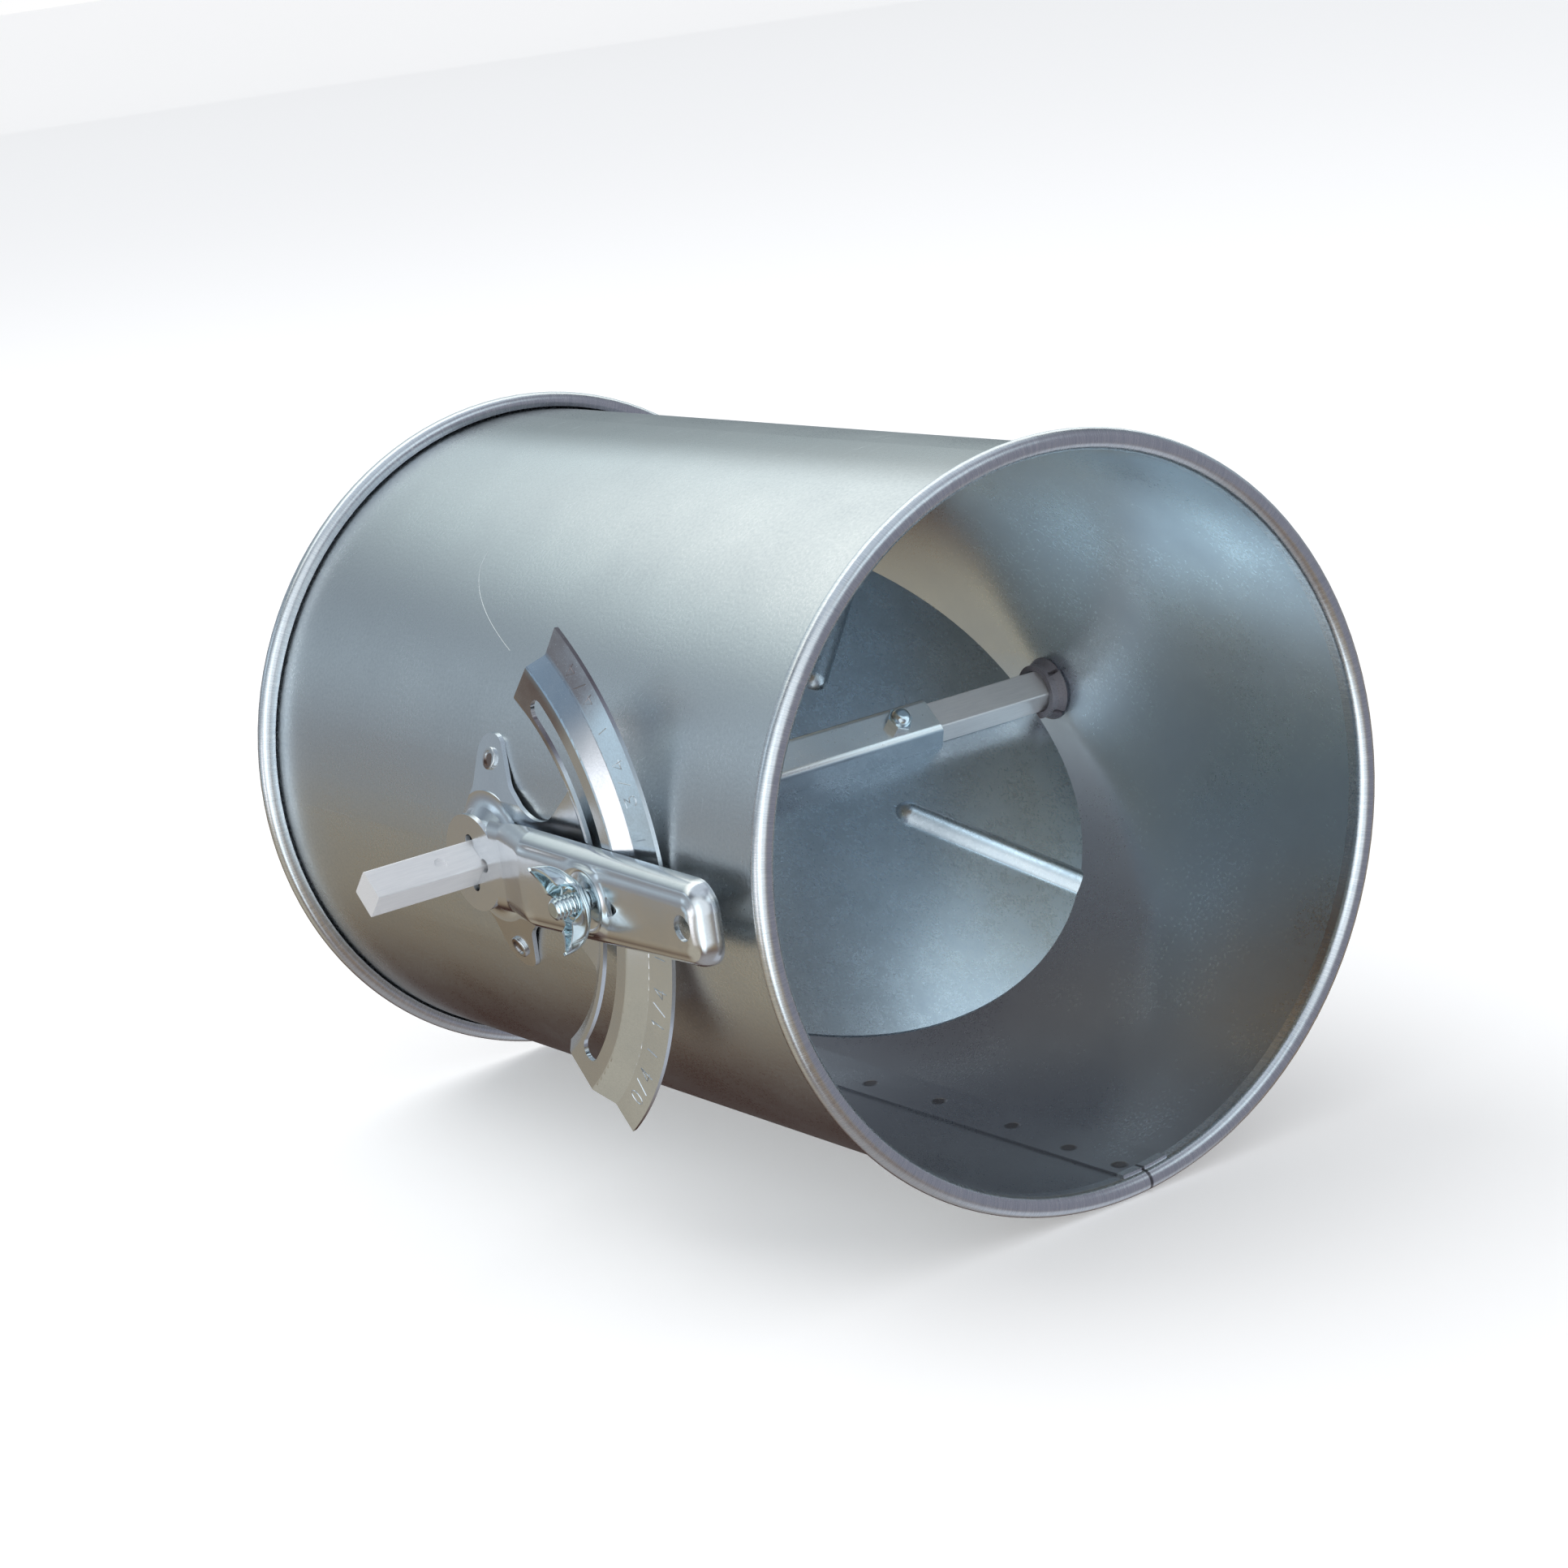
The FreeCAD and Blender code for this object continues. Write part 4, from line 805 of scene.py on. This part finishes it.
def wing_surface(along, across):
    """A point of the wing nut's outer face: along from -1 to 1 tip to tip, across from -1 to 1."""
    bend = min(1, max(-1, along)) * math.pi / 2
    spine = Vector((0, WING_RISE * (1 - max(0.0, math.cos(bend)) ** WING_ARCH),
                    WING_SPAN * signed_power(math.sin(bend), WING_ARCH)))
    inward = Vector((0, math.cos(bend), -math.sin(bend)))
    share = abs(along)
    tip = max(0.0, 1 - share ** WING_TIP) ** 0.5
    width = (LEAF_WIDTH + (CUP_WIDTH - LEAF_WIDTH) * math.exp(-(share / CUP_FADE) ** 2)) * tip
    rise = min(1, max(0, (share - DEPTH_START) / DEPTH_RUN))
    depth = (CUP_DEPTH + (LEAF_DEPTH - CUP_DEPTH) * rise * rise * (3 - 2 * rise)) * tip
    turn = across * math.pi / 2
    side = width * signed_power(math.sin(turn), WING_CURL)
    return spine + inward * depth * (1 - math.cos(turn)) + Vector((side, 0, 0))


def wing_inward(along, across):
    """The wing surface's normal, towards the inside of the U."""
    small = 1e-3
    first = wing_surface(along + small, across) - wing_surface(along - small, across)
    second = wing_surface(along, across + small) - wing_surface(along, across - small)
    normal = first.cross(second).normalized()
    inside = Vector((0, WING_RISE * 0.9, 0))
    return normal if normal.dot(inside - wing_surface(along, across)) >= 0 else -normal


def wing_place(point):
    """Turns the nut's own frame (x across, y outwards, z along the wings) and puts it on the bolt."""
    c, s = math.cos(WING_TURN), math.sin(WING_TURN)
    x = point.x * c + point.z * s
    z = -point.x * s + point.z * c
    return Vector((BOLT_X + x, -LEVER_FACE - point.y, z)) * MM


def nut_spot(turn, share):
    """A place on the wing surface, for an angle, from the hole's edge at share 0 to the rim at share 1."""
    c, s = math.cos(turn), math.sin(turn)
    hole_along = HOLE_ALONG[0] * signed_power(NUT_HOLE * s / WING_SPAN, HOLE_ALONG[1])
    hole_across = HOLE_ACROSS[0] * signed_power(NUT_HOLE * c / CUP_WIDTH, HOLE_ACROSS[1])
    rim_along = RIM_ALONG[0] * signed_power(s, RIM_ALONG[1])
    rim_across = RIM_ACROSS[0] * signed_power(c, RIM_ACROSS[1])
    return hole_along * (1 - share) + rim_along * share, hole_across * (1 - share) + rim_across * share


def cupped_wing_nut():
    """A stamped wing nut: a cup with two leaf-shaped wings, and a short threaded collar in it."""
    outer, inner = [], []
    for step in range(NUT_STEPS + 1):
        spots = [nut_spot(turn, step / NUT_STEPS) for turn in circle_turns(NUT_POINTS)]
        outer.append([wing_place(wing_surface(*at)) for at in spots])
        inner.append([wing_place(wing_surface(*at) + wing_inward(*at) * WING_SHEET) for at in spots])
    collar = []
    for radius, level in COLLAR:
        collar.append([wing_place(Vector((radius * math.cos(turn), level, radius * math.sin(turn))))
                       for turn in circle_turns(COLLAR_POINTS)])
    shape = bmesh.new()
    skin(shape, outer + inner[::-1], looped=True)
    skin(shape, collar, looped=True)
    smoothed(shape, 45)
    mesh = meshed("cupped_wing_nut", shape)
    put("cupped_wing_nut", mesh, MATERIALS["bright_zinc"], "wing_nut", "wing_nut")


# Stage, in metres and degrees

def staged(name, mesh, material):
    """Links a piece of the studio."""
    mesh.materials.append(material)
    thing = bpy.data.objects.new(name, mesh)
    bpy.context.scene.collection.objects.link(thing)
    return thing


def only_mirrored(thing):
    """Leaves a studio piece to be seen in the metal only."""
    thing.visible_camera = False
    thing.visible_diffuse = False
    thing.visible_shadow = False
    thing.visible_transmission = False


def glow(name):
    """A material that only shines, its nodes, its light and its output."""
    material, tree = new_material(name)
    tree.nodes.clear()
    return material, tree, node(tree, "ShaderNodeEmission"), node(tree, "ShaderNodeOutputMaterial")


WALL_RADIUS = 8
# The colour that the room has at each height
SKY = (
    (-90, (0.33, 0.33, 0.35)),
    (-62, (0.31, 0.30, 0.30)),
    (-45, (0.17, 0.13, 0.115)),
    (-30, (0.26, 0.205, 0.14)),
    (-15, (0.30, 0.262, 0.205)),
    (0, (0.255, 0.265, 0.285)),
    (15, (0.385, 0.455, 0.51)),
    (30, (0.18, 0.21, 0.25)),
    (45, (0.11, 0.12, 0.14)),
    (60, (0.55, 0.62, 0.70)),
    (90, (0.55, 0.62, 0.70)),
)
# Patches on it: heading from -Y towards +X and height of the middle, half sizes, softness of the edge, colour
PATCHES = (
    ((-125, 3), (25, 12), 0.35, (0.22, 0.26, 0.29)),
    ((-113, -32), (30, 21), 0.40, (0.05, 0.025, 0.02)),
    ((42, 12), (46, 40), 0.30, (0.86, 0.93, 0.98)),
    ((31, -6), (14, 34), 0.45, (1.50, 1.70, 1.82)),
    ((135, 10), (45, 60), 0.35, (0.22, 0.225, 0.27)),
    ((-35, -35), (30, 18), 0.35, (0.42, 0.39, 0.32)),
    ((-14, -7), (11, 11), 0.50, (1.50, 1.50, 1.55)),
    ((155, -62), (45, 20), 0.40, (0.46, 0.49, 0.55)),
    ((105, 38), (24, 13), 0.50, (0.85, 0.98, 1.06)),
    ((-43, 20), (8, 9), 0.45, (0.75, 0.90, 1.02)),
    ((-39, -7), (10, 7), 0.35, (0.52, 0.66, 0.76)),
)


def studio_walls():
    """The room that the metal mirrors: bands of colour by height, with brighter and darker patches."""
    shape = bmesh.new()
    bmesh.ops.create_icosphere(shape, subdivisions=4, radius=WALL_RADIUS)
    material, tree, shine, out = glow("wall_glow")
    place = node(tree, "ShaderNodeNewGeometry").outputs["Position"]
    x, y, z = parted(tree, node(tree, "ShaderNodeVectorMath", {0: place}, operation="NORMALIZE").outputs[0])
    heading = maths(tree, "DEGREES", maths(tree, "ARCTAN2", x, times(tree, y, -1.0)))
    height = maths(tree, "DEGREES", maths(tree, "ARCSINE", z))
    colour = ramp_colour(tree, height, SKY)
    for centre, size, soft, tint in PATCHES:
        across = maths(tree, "WRAP", minus(tree, heading, centre[0]), 180.0, -180.0)
        mask = spot(tree, across, height, (0.0, centre[1]), size, soft)
        colour = blend_colour(tree, mask, colour, tint)
    tree.links.new(colour, shine.inputs["Color"])
    tree.links.new(shine.outputs[0], out.inputs[0])
    only_mirrored(staged("studio_walls", meshed("studio_walls", shape), material))


PANEL_X = -0.4
PANEL_Y = (-1.2, 1.0)
PANEL_Z = (0.13, 1.2)
# How far its glow moves up per metre towards -Y, and its strength at each height
PANEL_LEAN = 0.47
PANEL_STOPS = ((0.13, 0.0), (0.20, 0.1923), (0.24, 0.4231), (0.27, 0.4769), (0.34, 0.6769), (0.415, 1.0), (0.60, 1.0))
PANEL_TINT_EDGES = (0.25, 0.40)
PANEL_LOW_TINT = (0.90, 1.06, 1.03)
PANEL_TINT = (1.0, 1.03, 0.97)


def side_panel():
    """A tall panel near the duct's far end, whose mirror image is the highlight along the duct's outside."""
    mesh = bpy.data.meshes.new("side_panel")
    (left, right), (foot, top) = PANEL_Y, PANEL_Z
    mesh.from_pydata([(PANEL_X, left, foot), (PANEL_X, right, foot), (PANEL_X, right, top), (PANEL_X, left, top)],
                     [], [(0, 1, 2, 3)])
    material, tree, shine, out = glow("panel_glow")
    x, y, z = parted(tree, node(tree, "ShaderNodeNewGeometry").outputs["Position"])
    level = plus(tree, z, times(tree, maths(tree, "MINIMUM", y, 0.0), PANEL_LEAN))
    strength = ramp_colour(tree, level, [(height, (share, share, share)) for height, share in PANEL_STOPS])
    tint = blend_colour(tree, eased(tree, level, *PANEL_TINT_EDGES), PANEL_LOW_TINT, PANEL_TINT)
    tree.links.new(tint, shine.inputs["Color"])
    tree.links.new(strength, shine.inputs["Strength"])
    clear = node(tree, "ShaderNodeBsdfTransparent")
    both = node(tree, "ShaderNodeAddShader", {0: clear.outputs[0], 1: shine.outputs[0]})
    tree.links.new(both.outputs[0], out.inputs[0])
    only_mirrored(staged("side_panel", mesh, material))


SHADE_X = (-0.141, -0.42)
SHADE_RADIUS = 0.1
SHADE_STEPS = 24
SHADE_GLOW = (0.085, 0.085, 0.10)


def far_shade():
    """Half a tube beyond the duct's far end that keeps the panel out of the duct's inside."""
    mesh = bpy.data.meshes.new("far_shade")
    corners = []
    for step in range(SHADE_STEPS + 1):
        turn = math.pi * step / SHADE_STEPS
        corners += [(x, SHADE_RADIUS * math.cos(turn), SHADE_RADIUS * math.sin(turn)) for x in SHADE_X]
    faces = [(2 * step, 2 * step + 1, 2 * step + 3, 2 * step + 2) for step in range(SHADE_STEPS)]
    mesh.from_pydata(corners, [], faces)
    material, tree, shine, out = glow("shade_glow")
    shine.inputs["Color"].default_value = (*SHADE_GLOW, 1)
    tree.links.new(shine.outputs[0], out.inputs[0])
    only_mirrored(staged("far_shade", mesh, material))


FLOOR_SIZE = 30
FLOOR_GREY = 0.90
FLOOR_LIFT = 0.25


def studio_floor():
    """A wide pale floor, lifted to white for the camera where no shadow falls."""
    shape = bmesh.new()
    bmesh.ops.create_grid(shape, x_segments=1, y_segments=1, size=FLOOR_SIZE)
    material, tree = new_material("pale_floor")
    shader = tree.nodes["Principled BSDF"]
    shader.inputs["Base Color"].default_value = (FLOOR_GREY, FLOOR_GREY, FLOOR_GREY, 1)
    shader.inputs["Roughness"].default_value = 0.9
    shader.inputs["Emission Color"].default_value = (1, 1, 1, 1)
    seen = node(tree, "ShaderNodeLightPath").outputs["Is Camera Ray"]
    tree.links.new(times(tree, seen, FLOOR_LIFT), shader.inputs["Emission Strength"])
    floor = staged("studio_floor", meshed("studio_floor", shape), material)
    floor.location.z = cad_box[0].z
    floor.visible_glossy = False


LAMP_HEADING = math.radians(-60)
LAMP_RISE = math.radians(60)
LAMP_DISTANCE = 2.6
LAMP_SIZE = (2.2, 2.0)
LAMP_RADIANCE = 1.9
WORLD_LIGHT = (0.70, 0.71, 0.73)


def soft_box():
    """One soft lamp for shadows, its heading from -Y towards +X; the metal doesn't mirror it."""
    data = bpy.data.lights.new("main_soft_box", "AREA")
    data.shape = "RECTANGLE"
    data.size, data.size_y = LAMP_SIZE
    data.energy = LAMP_RADIANCE * math.pi * LAMP_SIZE[0] * LAMP_SIZE[1]
    lamp = bpy.data.objects.new("main_soft_box", data)
    way = Vector((math.sin(LAMP_HEADING) * math.cos(LAMP_RISE), -math.cos(LAMP_HEADING) * math.cos(LAMP_RISE),
                  math.sin(LAMP_RISE)))
    lamp.location = way * LAMP_DISTANCE
    lamp.rotation_mode = "QUATERNION"
    lamp.rotation_quaternion = way.to_track_quat("Z", "Y")
    lamp.visible_glossy = False
    bpy.context.scene.collection.objects.link(lamp)


def studio_world():
    """A plain world that is white to the camera and where it is mirrored or seen through."""
    world = bpy.data.worlds.new("studio")
    world.use_nodes = True
    bpy.context.scene.world = world
    tree = world.node_tree
    tree.nodes.clear()
    seen = node(tree, "ShaderNodeLightPath")
    direct = maths(tree, "MAXIMUM", seen.outputs["Is Camera Ray"], seen.outputs["Is Glossy Ray"])
    direct = maths(tree, "MAXIMUM", direct, seen.outputs["Is Transmission Ray"])
    light = blend_colour(tree, direct, WORLD_LIGHT, (1, 1, 1))
    back = node(tree, "ShaderNodeBackground", {"Color": light, "Strength": 1.0})
    out = node(tree, "ShaderNodeOutputWorld")
    tree.links.new(back.outputs[0], out.inputs[0])


make_camera()
dress_nodes()
dial_marks()
duct_scratch()
threaded_bolt()
cupped_wing_nut()
studio_walls()
side_panel()
far_shade()
studio_floor()
soft_box()
studio_world()
bpy.context.scene.view_settings.view_transform = "Standard"
